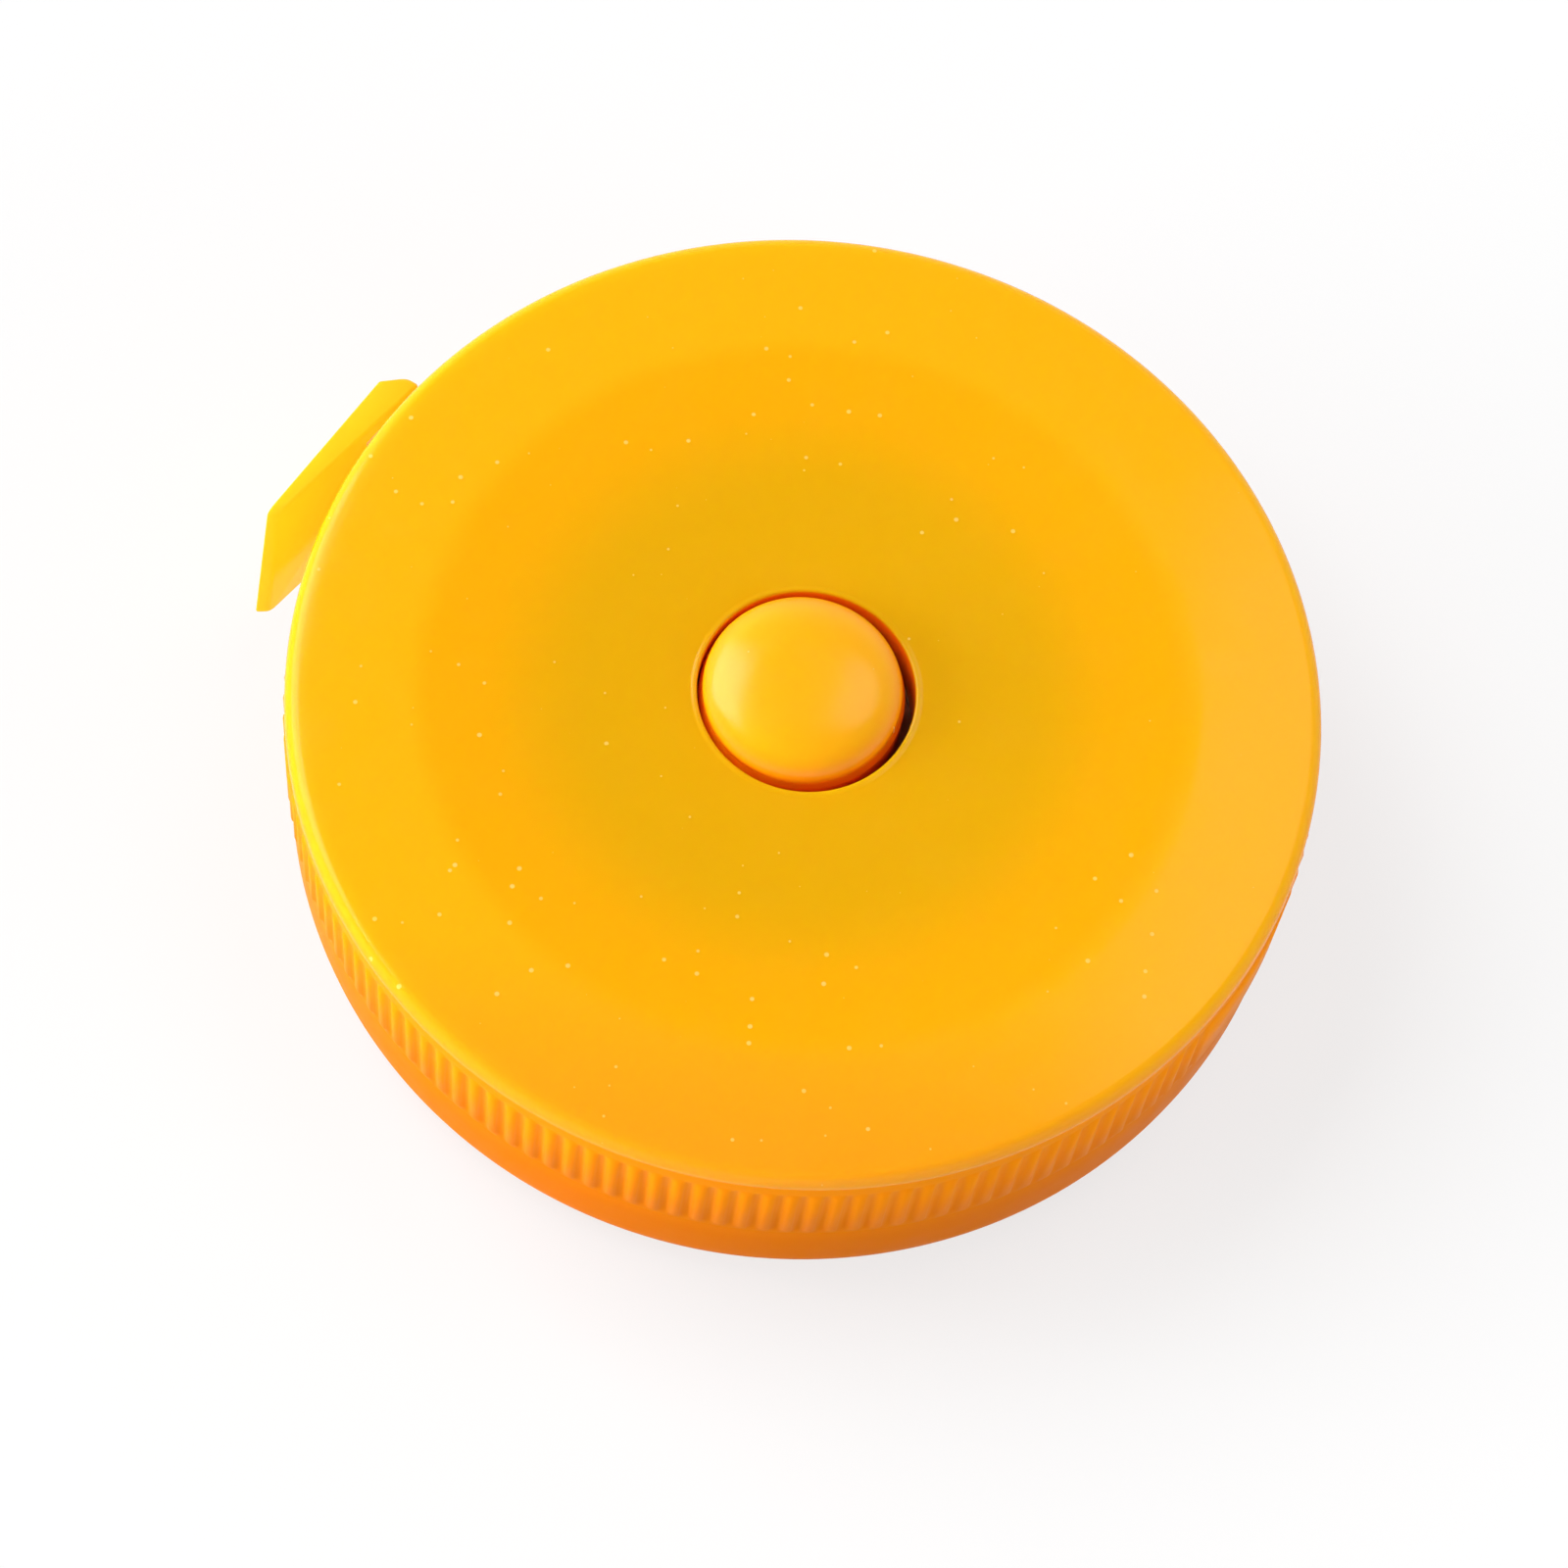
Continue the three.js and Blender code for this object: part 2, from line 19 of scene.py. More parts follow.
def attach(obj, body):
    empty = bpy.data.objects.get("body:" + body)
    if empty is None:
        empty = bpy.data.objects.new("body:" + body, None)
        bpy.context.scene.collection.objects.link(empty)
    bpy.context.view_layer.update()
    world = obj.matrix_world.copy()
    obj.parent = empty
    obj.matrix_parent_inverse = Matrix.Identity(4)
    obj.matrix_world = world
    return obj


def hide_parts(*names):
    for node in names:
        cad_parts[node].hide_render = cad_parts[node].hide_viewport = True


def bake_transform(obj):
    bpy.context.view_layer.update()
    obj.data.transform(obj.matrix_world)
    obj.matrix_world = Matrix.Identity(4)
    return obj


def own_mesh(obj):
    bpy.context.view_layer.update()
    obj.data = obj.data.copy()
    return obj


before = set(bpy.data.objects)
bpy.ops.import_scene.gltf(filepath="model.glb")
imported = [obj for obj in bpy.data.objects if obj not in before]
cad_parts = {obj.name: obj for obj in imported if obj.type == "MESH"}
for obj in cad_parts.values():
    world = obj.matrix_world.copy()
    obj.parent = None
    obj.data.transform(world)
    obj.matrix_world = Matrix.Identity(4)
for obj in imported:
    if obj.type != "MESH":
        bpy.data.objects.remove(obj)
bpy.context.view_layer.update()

MM = 0.001
NEAR = 0.01
WELD_DISTANCE = 0.002
KEY_AZIMUTHS = (60, 180, 300)

# The colour sockets of a Mix node, which shares its socket names among all kinds of data.
MIX_FIRST, MIX_SECOND, MIX_RESULT = 6, 7, 2

log = logging.getLogger("tape_measure")

Point = tuple[float, float]
Place = tuple[float, float, float]
Input = bpy.types.NodeSocket | bpy.types.Node


class Body(Enum):
    """The moving groups of the tape measure."""

    CASE = "case"
    REEL = "reel"
    BUTTON = "button"
    TAB = "tab"


class Slot(Enum):
    """The finishes of the new pieces."""

    CASE_PLASTIC = "case_plastic"
    SPRING_STEEL = "spring_steel"
    TAPE = "tape"


class Shading(Enum):
    """Largest angle between faces that still shade as one surface, in degrees."""

    MOULDED = 38.0
    WIRE = 80.0


class LampShape(Enum):
    """Outlines of the softboxes."""

    RECTANGLE = "RECTANGLE"
    DISK = "DISK"


@dataclass(frozen=True)
class Corner:
    """One corner of a turned profile.

    Args:
        radius: Distance from the axis.
        height: Height above the table.
        rounding: Radius of the arc that replaces the corner, or 0 for a sharp one.
    """

    radius: float
    height: float
    rounding: float = 0.0


def rounded(corners: Sequence[Corner], steps: int) -> list[Point]:
    """Rounds the inner corners of a profile with arcs.

    Args:
        corners: The profile's corners in order. The first and last stay sharp.
        steps: Number of segments in each arc.

    Returns:
        The points of the rounded profile as (radius, height).
    """
    points: list[Point] = [(corners[0].radius, corners[0].height)]
    for before, corner, after in zip(corners, corners[1:], corners[2:]):
        here = Vector((corner.radius, corner.height))
        if corner.rounding == 0:
            points.append((here.x, here.y))
            continue
        back = (Vector((before.radius, before.height)) - here).normalized()
        ahead = (Vector((after.radius, after.height)) - here).normalized()
        half = math.acos(max(-1.0, min(1.0, back.dot(ahead)))) / 2
        centre = here + (back + ahead).normalized() * (corner.rounding / math.sin(half))
        start = here + back * (corner.rounding / math.tan(half)) - centre
        turn = (math.pi - 2 * half) * math.copysign(1, back.cross(ahead))
        for step in range(steps + 1):
            angle = -turn * step / steps
            spoke = Matrix.Rotation(angle, 2) @ start
            points.append((centre.x + spoke.x, centre.y + spoke.y))
    points.append((corners[-1].radius, corners[-1].height))
    return points


def spiral(inner: float, outer: float, turns: float, steps: int) -> list[Point]:
    """A flat spiral of even pitch.

    Args:
        inner: Radius of its start.
        outer: Radius of its end.
        turns: Number of turns.
        steps: Number of straight steps in all.

    Returns:
        The points as (x, y).
    """
    path = []
    for step in range(steps + 1):
        angle = 2 * math.pi * turns * step / steps
        radius = inner + (outer - inner) * step / steps
        path.append((radius * math.cos(angle), radius * math.sin(angle)))
    return path


def deselect() -> None:
    """Deselects every object, so that an operator acts on the new one alone."""
    bpy.ops.object.select_all(action="DESELECT")


def make_active(piece: bpy.types.Object) -> None:
    """Selects one object alone and makes it the active one.

    Args:
        piece: The object.
    """
    deselect()
    piece.select_set(True)
    bpy.context.view_layer.objects.active = piece


def settle() -> None:
    """Applies the place, turn and size of the active object to its mesh."""
    bpy.ops.object.transform_apply(location=True, rotation=True, scale=True)


def named(piece: bpy.types.Object, name: str) -> bpy.types.Object:
    """Gives an object and its mesh the same plain name.

    Args:
        piece: The object.
        name: Its name.

    Returns:
        The same object.
    """
    piece.name = name
    piece.data.name = name
    return piece


def select_vertices(piece: bpy.types.Object, test: Callable[[Vector], bool]) -> None:
    """Selects vertices by their place and leaves the piece in edit mode.

    Args:
        piece: The piece, which is the active object.
        test: Says of a vertex's place in millimetres whether it is selected.
    """
    bpy.ops.object.mode_set(mode="EDIT")
    bpy.ops.mesh.select_mode(type="VERT")
    bpy.ops.mesh.select_all(action="DESELECT")
    bpy.ops.object.mode_set(mode="OBJECT")
    for vertex in piece.data.vertices:
        vertex.select = test(vertex.co / MM)
    bpy.ops.object.mode_set(mode="EDIT")


def apply_modifier(piece: bpy.types.Object, kind: str, **settings: object) -> None:
    """Adds a modifier with its settings and applies it.

    Args:
        piece: The piece that it shapes.
        kind: Blender's name for the kind of modifier.
        settings: The modifier's own settings.
    """
    make_active(piece)
    modifier = piece.modifiers.new(kind.title(), kind)
    for key, value in settings.items():
        setattr(modifier, key, value)
    bpy.ops.object.modifier_apply(modifier=modifier.name)


def combine(piece: bpy.types.Object, tool: bpy.types.Object, operation: str) -> None:
    """Cuts a tool out of a piece or joins it on, and removes the tool.

    Args:
        piece: The piece that changes.
        tool: The other solid.
        operation: DIFFERENCE or UNION.
    """
    apply_modifier(piece, "BOOLEAN", operation=operation, solver="EXACT", object=tool)
    bpy.data.objects.remove(tool)


def cut(piece: bpy.types.Object, cutters: Sequence[bpy.types.Object]) -> None:
    """Cuts blocks out of a piece and removes them.

    Args:
        piece: The piece that is cut.
        cutters: Blocks that don't touch each other.
    """
    make_active(cutters[0])
    for cutter in cutters:
        cutter.select_set(True)
    if len(cutters) > 1:
        bpy.ops.object.join()
    combine(piece, bpy.context.view_layer.objects.active, "DIFFERENCE")


def shade(piece: bpy.types.Object, shading: Shading = Shading.MOULDED) -> None:
    """Shades a piece smooth except across its sharp edges."""
    make_active(piece)
    bpy.ops.object.shade_smooth_by_angle(angle=math.radians(shading.value))


def close_up(piece: bpy.types.Object) -> None:
    """Merges doubled vertices, turns all faces outwards and returns to object mode.

    Args:
        piece: The piece.
    """
    make_active(piece)
    bpy.ops.object.mode_set(mode="EDIT")
    bpy.ops.mesh.select_all(action="SELECT")
    bpy.ops.mesh.remove_doubles(threshold=WELD_DISTANCE * MM)
    bpy.ops.mesh.normals_make_consistent(inside=False)
    bpy.ops.object.mode_set(mode="OBJECT")


def turned(
    name: str,
    profile: Sequence[Point],
    segments: int,
    start: float = 0.0,
) -> bpy.types.Object:
    """Turns a profile about Z: a circle is extruded and resized from point to point.

    Args:
        name: Name of the piece.
        profile: Points as (radius, height). Where the last differs from the first, both ends
            are closed with a flat face.
        segments: Number of faces round the axis.
        start: Angle of the first vertex in radians.

    Returns:
        The closed piece, not shaded yet.
    """
    deselect()
    first_radius, first_height = profile[0]
    bpy.ops.mesh.primitive_circle_add(
        vertices=segments,
        radius=first_radius * MM,
        location=(0, 0, first_height * MM),
        rotation=(0, 0, start),
    )
    piece = named(bpy.context.object, name)
    settle()
    bpy.ops.object.mode_set(mode="EDIT")
    bpy.ops.mesh.select_mode(type="EDGE")
    bpy.ops.mesh.select_all(action="SELECT")
    for (radius, height), (next_radius, next_height) in pairwise(profile):
        rise = (0, 0, (next_height - height) * MM)
        bpy.ops.mesh.extrude_region_move(TRANSFORM_OT_translate={"value": rise})
        growth = next_radius / radius
        bpy.ops.transform.resize(value=(growth, growth, 1), center_override=(0, 0, 0))
    if profile[0] != profile[-1]:
        bpy.ops.mesh.edge_face_add()
        select_vertices(
            piece,
            lambda place: abs(place.xy.length - first_radius) < NEAR / 2
            and abs(place.z - first_height) < NEAR / 2,
        )
        bpy.ops.mesh.edge_face_add()
    bpy.ops.object.mode_set(mode="OBJECT")
    close_up(piece)
    return piece


def block(
    name: str,
    low: Sequence[float],
    high: Sequence[float],
    azimuth: float = 0.0,
) -> bpy.types.Object:
    """A cube stretched between two corners and turned about Z.

    Args:
        name: Name of the piece.
        low: Lowest corner.
        high: Highest corner.
        azimuth: Angle about Z in radians.

    Returns:
        The block with its place in its mesh.
    """
    deselect()
    centre = Vector((a + b for a, b in zip(low, high))) * (MM / 2)
    size = Vector((b - a for a, b in zip(low, high))) * MM
    bpy.ops.mesh.primitive_cube_add(
        size=1,
        location=Matrix.Rotation(azimuth, 3, "Z") @ centre,
        rotation=(0, 0, azimuth),
    )
    piece = named(bpy.context.object, name)
    piece.scale = size
    settle()
    return piece


def strip_along(
    name: str,
    path: Sequence[Point],
    bottom: float,
    top: float,
    thickness: float,
) -> bpy.types.Object:
    """An upright strip that follows a path in plan: a flat curve, extruded and thickened.

    Args:
        name: Name of the piece.
        path: Points of the strip's middle line as (x, y).
        bottom: Height of the strip's lower edge.
        top: Height of its upper edge.
        thickness: Its thickness.

    Returns:
        The closed strip, shaded.
    """
    deselect()
    curve = bpy.data.curves.new(name, "CURVE")
    curve.dimensions = "2D"
    curve.fill_mode = "NONE"
    curve.extrude = (top - bottom) / 2 * MM
    spline = curve.splines.new("POLY")
    spline.points.add(len(path) - 1)
    for point, (x, y) in zip(spline.points, path):
        point.co = (x * MM, y * MM, 0, 1)
    piece = bpy.data.objects.new(name, curve)
    bpy.context.scene.collection.objects.link(piece)
    make_active(piece)
    bpy.ops.object.convert(target="MESH")
    piece = named(bpy.context.object, name)
    piece.location.z = (top + bottom) / 2 * MM
    settle()
    apply_modifier(piece, "SOLIDIFY", thickness=thickness * MM, offset=0)
    close_up(piece)
    shade(piece)
    return piece


def hand_over(
    piece: bpy.types.Object,
    material: bpy.types.Material,
    slot: Slot,
    body: Body | None,
    *nodes: str,
) -> None:
    """Dresses a finished piece, sets it on its body and hides the CAD nodes that it stands for.

    Args:
        piece: The finished piece.
        material: Its material.
        slot: Not used.
        body: The body it moves with, or None to leave it on no body.
        nodes: CAD nodes that it replaces.
    """
    piece.data.materials.clear()
    piece.data.materials.append(material)
    if body is not None:
        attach(piece, body.value)
    if nodes:
        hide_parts(*nodes)
    log.info("%s: %d faces, %s", piece.name, len(piece.data.polygons), material.name)


def linear(hex_colour: str) -> tuple[float, float, float, float]:
    """Turns an sRGB hex colour to the linear values that shaders use.

    Args:
        hex_colour: The colour as #RRGGBB.

    Returns:
        Red, green, blue and an alpha of 1.
    """
    parts = [int(hex_colour[i : i + 2], 16) / 255 for i in (1, 3, 5)]
    red, green, blue = (p / 12.92 if p <= 0.04045 else ((p + 0.055) / 1.055) ** 2.4 for p in parts)
    return (red, green, blue, 1.0)


def add_node(
    tree: bpy.types.NodeTree,
    kind: str,
    inputs: dict[str | int, object] | None = None,
    **settings: object,
) -> bpy.types.Node:
    """Adds a node, sets it and links it.

    Args:
        tree: The node tree.
        kind: The node's type, without its ShaderNode prefix.
        inputs: For each input a number, a vector, a hex colour, the output that feeds it, or
            the node whose first output does.
        settings: The node's own settings.

    Returns:
        The new node.
    """
    node = tree.nodes.new(f"ShaderNode{kind}")
    for key, value in settings.items():
        setattr(node, key, value)
    for key, value in (inputs or {}).items():
        if isinstance(value, bpy.types.Node):
            value = value.outputs[0]
        if isinstance(value, bpy.types.NodeSocket):
            tree.links.new(value, node.inputs[key])
        else:
            node.inputs[key].default_value = linear(value) if isinstance(value, str) else value
    return node


@dataclass(frozen=True)
class Band:
    """A stretch of values, such as the one over which a tint comes in from none to full."""

    start: float
    end: float


def share_within(
    tree: bpy.types.NodeTree,
    *bands: tuple[Input, Band],
    unit: float = MM,
) -> bpy.types.NodeSocket:
    """A mask that is 1 where every one of some values has passed its band.

    Args:
        tree: The node tree.
        bands: Pairs of a value and its band.
        unit: What 1 in the bands stands for in the values.

    Returns:
        The output that carries the product of the smooth ramps.
    """
    shares = [
        add_node(
            tree,
            "MapRange",
            {"Value": value, "From Min": band.start * unit, "From Max": band.end * unit},
            interpolation_type="SMOOTHSTEP",
        ).outputs["Result"]
        for value, band in bands
    ]
    product = shares[0]
    for share in shares[1:]:
        product = add_node(tree, "Math", {0: product, 1: share}, operation="MULTIPLY").outputs[0]
    return product


def tinted(
    tree: bpy.types.NodeTree,
    colour: Input | str,
    tint: str,
    *bands: tuple[Input, Band],
) -> bpy.types.NodeSocket:
    """Lays a tint over a colour where every one of some lengths has passed its band.

    Args:
        tree: The node tree.
        colour: The colour below, as an output or a hex value.
        tint: The colour on top.
        bands: Pairs of a length and its band.

    Returns:
        The output that carries the tinted colour.
    """
    inputs = {0: share_within(tree, *bands), MIX_FIRST: colour, MIX_SECOND: tint}
    return add_node(tree, "Mix", inputs, data_type="RGBA").outputs[MIX_RESULT]


@dataclass(frozen=True)
class Finish:
    """A material made of nodes. Each kind of finish builds its own surface."""

    name: str

    def material(self) -> bpy.types.Material:
        """Builds the material.

        Returns:
            The material with its whole node tree.
        """
        material = bpy.data.materials.new(self.name)
        material.use_nodes = True
        tree = material.node_tree
        tree.nodes.clear()
        add_node(tree, "OutputMaterial", {"Surface": self.surface(tree)})
        return material

    def surface(self, tree: bpy.types.NodeTree) -> bpy.types.Node:
        """Builds the nodes of the surface and gives the shader node that they feed."""
        raise NotImplementedError


@dataclass(frozen=True)
class Dust:
    """Fine pale dust that has settled in loose drifts on the surfaces that face up."""

    colour: str = "#FFD878"
    spacing: float = 1.5
    radius: float = 0.125
    drift_width: float = 9.0
    drift: Band = Band(0.35, 0.65)
    odds: Band = Band(-0.35, 0.08)
    kept: Band = Band(0.52, 0.95)
    edge: Band = Band(-0.004, 0.02)
    upper_side: Band = Band(12.95, 13.05)
    opacity: float = 0.55
    dullness: float = 0.3

    def cover(
        self,
        tree: bpy.types.NodeTree,
        place: bpy.types.NodeSocket,
        height: bpy.types.NodeSocket,
    ) -> bpy.types.Node:
        """Sparse round specks, each in a cell of its own.

        Args:
            tree: The node tree.
            place: Object coordinates.
            height: Their Z.

        Returns:
            The node that gives the specks' opacity, and 0 between them.
        """
        cells = add_node(
            tree,
            "TexVoronoi",
            {"Vector": place, "Scale": 1 / (self.spacing * MM)},
            voronoi_dimensions="2D",
        )
        chance = add_node(tree, "SeparateColor", {0: cells.outputs["Color"]})
        drifts = add_node(
            tree,
            "TexNoise",
            {"Vector": place, "Scale": 1 / (self.drift_width * MM), "Detail": 1.0},
        )
        odds = add_node(
            tree,
            "MapRange",
            {
                "Value": drifts,
                "From Min": self.drift.start,
                "From Max": self.drift.end,
                "To Min": self.odds.start,
                "To Max": self.odds.end,
            },
        )
        likely = add_node(tree, "Math", {0: chance, 1: odds}, operation="ADD")
        kept = share_within(tree, (likely, self.kept), unit=1)
        size = add_node(
            tree, "Math", {0: kept, 1: self.radius / self.spacing}, operation="MULTIPLY"
        )
        inside = add_node(
            tree, "Math", {0: size, 1: cells.outputs["Distance"]}, operation="SUBTRACT"
        )
        spot = share_within(tree, (inside, self.edge), unit=1)
        upper = share_within(tree, (height, self.upper_side))
        faint = add_node(tree, "Math", {0: upper, 1: self.opacity}, operation="MULTIPLY")
        return add_node(tree, "Math", {0: spot, 1: faint}, operation="MULTIPLY")


@dataclass(frozen=True)
class CasePlastic(Finish):
    """ABS, dyed orange-yellow and injection moulded in a polished mould.

    The eye gets a smooth skin with a faint orange peel and a little dust, over a body colour that
    is painted deeper orange and darker down the rim, as painted shade on the wall that turns away
    from the light. Light also wanders under the skin, furthest in red, which softens the shading
    and warms the gaps. A thin piece lets some light through, as its glow.
    """

    face: str = "#FFAE0C"
    # rim and foot are painted shade: they make the wall deeper orange and darker towards its foot.
    rim: str = "#FF8E0A"
    foot: str = "#DE7106"
    back: str = "#FFA80C"
    rim_shade_band: Band = Band(13.3, 12.6)
    foot_shade_band: Band = Band(12.6, 4.0)
    back_band: Band = Band(0.7, 0.25)
    dust: Dust = Dust()
    ior: float = 1.54
    gloss: float = 0.15
    roughness: float = 0.13
    polish: float = 0.04
    haze: float = 0.05
    peel_width: float = 1.6
    peel: Band = Band(0.3, 0.7)
    peel_depth: float = 0.02
    peel_strength: float = 0.12
    scatter: float = 0.6
    scatter_reach: Place = (1.0, 0.7, 0.08)
    depth_of_light: float = 2.6
    glow: float = 0.0
    glow_colour: str = "#FFF060"

    def surface(self, tree: bpy.types.NodeTree) -> bpy.types.Node:
        """Builds the nodes of the surface.

        Args:
            tree: The node tree.

        Returns:
            The shader node.
        """
        place = add_node(tree, "TexCoord").outputs["Object"]
        height = add_node(tree, "SeparateXYZ", {0: place}).outputs["Z"]
        specks = self.dust.cover(tree, place, height)
        dyed_and_shaded = self.dye_and_shade(tree, place, height)
        dusty = {0: specks, MIX_FIRST: dyed_and_shaded, MIX_SECOND: self.dust.colour}
        colour = add_node(tree, "Mix", dusty, data_type="RGBA").outputs[MIX_RESULT]
        peel = add_node(
            tree,
            "TexNoise",
            {"Vector": place, "Scale": 1 / (self.peel_width * MM), "Detail": 2.0},
        )
        skin = add_node(
            tree,
            "MapRange",
            {
                "Value": peel,
                "From Min": self.peel.start,
                "From Max": self.peel.end,
                "To Min": self.roughness - self.polish,
                "To Max": self.roughness + self.haze,
            },
        )
        dull = add_node(tree, "Math", {0: specks, 1: self.dust.dullness}, operation="MULTIPLY")
        relief = {"Strength": self.peel_strength, "Distance": self.peel_depth * MM, "Height": peel}
        shader = add_node(
            tree,
            "BsdfPrincipled",
            {
                "Base Color": colour,
                "Roughness": add_node(tree, "Math", {0: skin, 1: dull}, operation="ADD"),
                "IOR": self.ior,
                "Specular IOR Level": self.gloss,
                "Subsurface Weight": self.scatter,
                "Subsurface Radius": self.scatter_reach,
                "Subsurface Scale": self.depth_of_light * MM,
                "Normal": add_node(tree, "Bump", relief),
            },
        )
        if self.glow > 0:
            through = add_node(tree, "BsdfTranslucent", {"Color": self.glow_colour})
            shader = add_node(tree, "MixShader", {0: self.glow, 1: shader, 2: through})
        return shader

    def dye_and_shade(
        self,
        tree: bpy.types.NodeTree,
        place: bpy.types.NodeSocket,
        height: bpy.types.NodeSocket,
    ) -> bpy.types.NodeSocket:
        """Colour of the plastic, with painted shade that deepens it down the rim.

        Args:
            tree: The node tree.
            place: Object coordinates.
            height: Their Z.

        Returns:
            The output that carries the colour.
        """
        # Painted shade: deeper orange and darker down the rim to its foot, then a plain colour
        # again on the flat back.
        colour = tinted(tree, self.face, self.rim, (height, self.rim_shade_band))
        colour = tinted(tree, colour, self.foot, (height, self.foot_shade_band))
        return tinted(tree, colour, self.back, (height, self.back_band))


@dataclass(frozen=True)
class FacePlastic(CasePlastic):
    """The same ABS on the front cover, with painted shade laid over its colour.

    The eye gets painted shade in darker olive over the middle of the face, in deeper orange inside
    the crease ring and towards the front, and in deep red-orange down the wall of the button hole.
    """

    # All four tints below are painted shade over the plastic's colour.
    flow_and_front_shade: str = "#F59C16"
    crease_shade: str = "#F9A805"
    drum: str = "#DEA406"
    hole: str = "#FF7E08"
    front_shade_azimuth: float = 272.0
    front_shade_band: Band = Band(12.5, 25.0)
    crease_shade_band: Band = Band(19.3, 17.7)
    middle_shade_band: Band = Band(18.0, 10.2)
    roof_band: Band = Band(12.6, 13.0)
    hole_shade_band: Band = Band(5.45, 5.35)
    collar_shade_band: Band = Band(13.35, 13.1)

    def dye_and_shade(
        self,
        tree: bpy.types.NodeTree,
        place: bpy.types.NodeSocket,
        height: bpy.types.NodeSocket,
    ) -> bpy.types.NodeSocket:
        """Colour of the plastic, with painted shade laid over it.

        Args:
            tree: The node tree.
            place: Object coordinates.
            height: Their Z.

        Returns:
            The output that carries the colour.
        """
        azimuth = math.radians(self.front_shade_azimuth)
        ahead = (math.cos(azimuth), math.sin(azimuth), 0)
        along = add_node(tree, "VectorMath", {0: place, 1: ahead}, operation="DOT_PRODUCT")
        plan = add_node(tree, "VectorMath", {0: place, 1: (1, 1, 0)}, operation="MULTIPLY")
        radius = add_node(tree, "VectorMath", {0: plan}, operation="LENGTH").outputs["Value"]
        colour = super().dye_and_shade(tree, place, height)
        # Painted shade: deeper orange towards the front of the face.
        colour = tinted(tree, colour, self.flow_and_front_shade, (along.outputs["Value"], self.front_shade_band))
        # Painted shade inside the crease ring, where the shoulder outside it catches a paler
        # sheen.
        colour = tinted(tree, colour, self.crease_shade, (radius, self.crease_shade_band))
        # Painted shade: darker olive over the middle of the face.
        on_roof = (height, self.roof_band)
        colour = tinted(tree, colour, self.drum, (radius, self.middle_shade_band), on_roof)
        # Painted shade: deep red-orange down the wall of the button hole.
        in_collar = (height, self.collar_shade_band)
        return tinted(tree, colour, self.hole, (radius, self.hole_shade_band), in_collar)


@dataclass(frozen=True)
class MouldedPlastic(Finish):
    """Plain moulded polystyrene or acetal with the satin skin of a spark-eroded mould."""

    colour: str
    shadow: str
    roughness: float
    smoother: float = 0.06
    rougher: float = 0.08
    flow_width: float = 6.0
    flow_and_front_shade: Band = Band(0.35, 0.75)
    grain: float = 0.25
    grain_depth: float = 0.02
    grain_strength: float = 0.15

    def surface(self, tree: bpy.types.NodeTree) -> bpy.types.Node:
        """Builds the nodes of the surface.

        Args:
            tree: The node tree.

        Returns:
            The shader node.
        """
        place = add_node(tree, "TexCoord").outputs["Object"]
        flow_scale, grain_scale = 1 / (self.flow_width * MM), 1 / (self.grain * MM)
        flow_and_front_shade = add_node(tree, "TexNoise", {"Vector": place, "Scale": flow_scale, "Detail": 3.0})
        grain = add_node(tree, "TexNoise", {"Vector": place, "Scale": grain_scale, "Detail": 2.0})
        share = share_within(tree, (flow_and_front_shade, self.flow_and_front_shade), unit=1)
        streaks = {0: share, MIX_FIRST: self.colour, MIX_SECOND: self.shadow}
        smooth, coarse = self.roughness - self.smoother, self.roughness + self.rougher
        skin = {"Value": grain, "To Min": smooth, "To Max": coarse}
        relief = {
            "Strength": self.grain_strength,
            "Distance": self.grain_depth * MM,
            "Height": grain,
        }
        return add_node(
            tree,
            "BsdfPrincipled",
            {
                "Base Color": add_node(tree, "Mix", streaks, data_type="RGBA").outputs[MIX_RESULT],
                "Roughness": add_node(tree, "MapRange", skin),
                "IOR": 1.5,
                "Normal": add_node(tree, "Bump", relief),
            },
        )


@dataclass(frozen=True)
class PolyesterFilm(Finish):
    """Clear polyester film, punched from a sheet: nearly colourless, with faint draw lines."""

    name: str = "polyester_film"
    tint: str = "#E4E9EC"
    line_tint: str = "#C9D2D8"
    line_width: float = 0.3
    stretch: Place = (1.0, 0.05, 1.0)
    clearness: float = 0.7

    def surface(self, tree: bpy.types.NodeTree) -> bpy.types.Node:
        """Builds the nodes of the surface.

        Args:
            tree: The node tree.

        Returns:
            The shader node.
        """
        place = add_node(tree, "TexCoord").outputs["Object"]
        drawn = add_node(tree, "Mapping", {"Vector": place, "Scale": self.stretch})
        scale = 1 / (self.line_width * MM)
        lines = add_node(tree, "TexNoise", {"Vector": drawn, "Scale": scale, "Detail": 1.0})
        tints = {0: lines, MIX_FIRST: self.tint, MIX_SECOND: self.line_tint}
        skin = {"Value": lines, "To Min": 0.08, "To Max": 0.3}
        return add_node(
            tree,
            "BsdfPrincipled",
            {
                "Base Color": add_node(tree, "Mix", tints, data_type="RGBA").outputs[MIX_RESULT],
                "Roughness": add_node(tree, "MapRange", skin),
                "IOR": 1.64,
                "Transmission Weight": self.clearness,
            },
        )


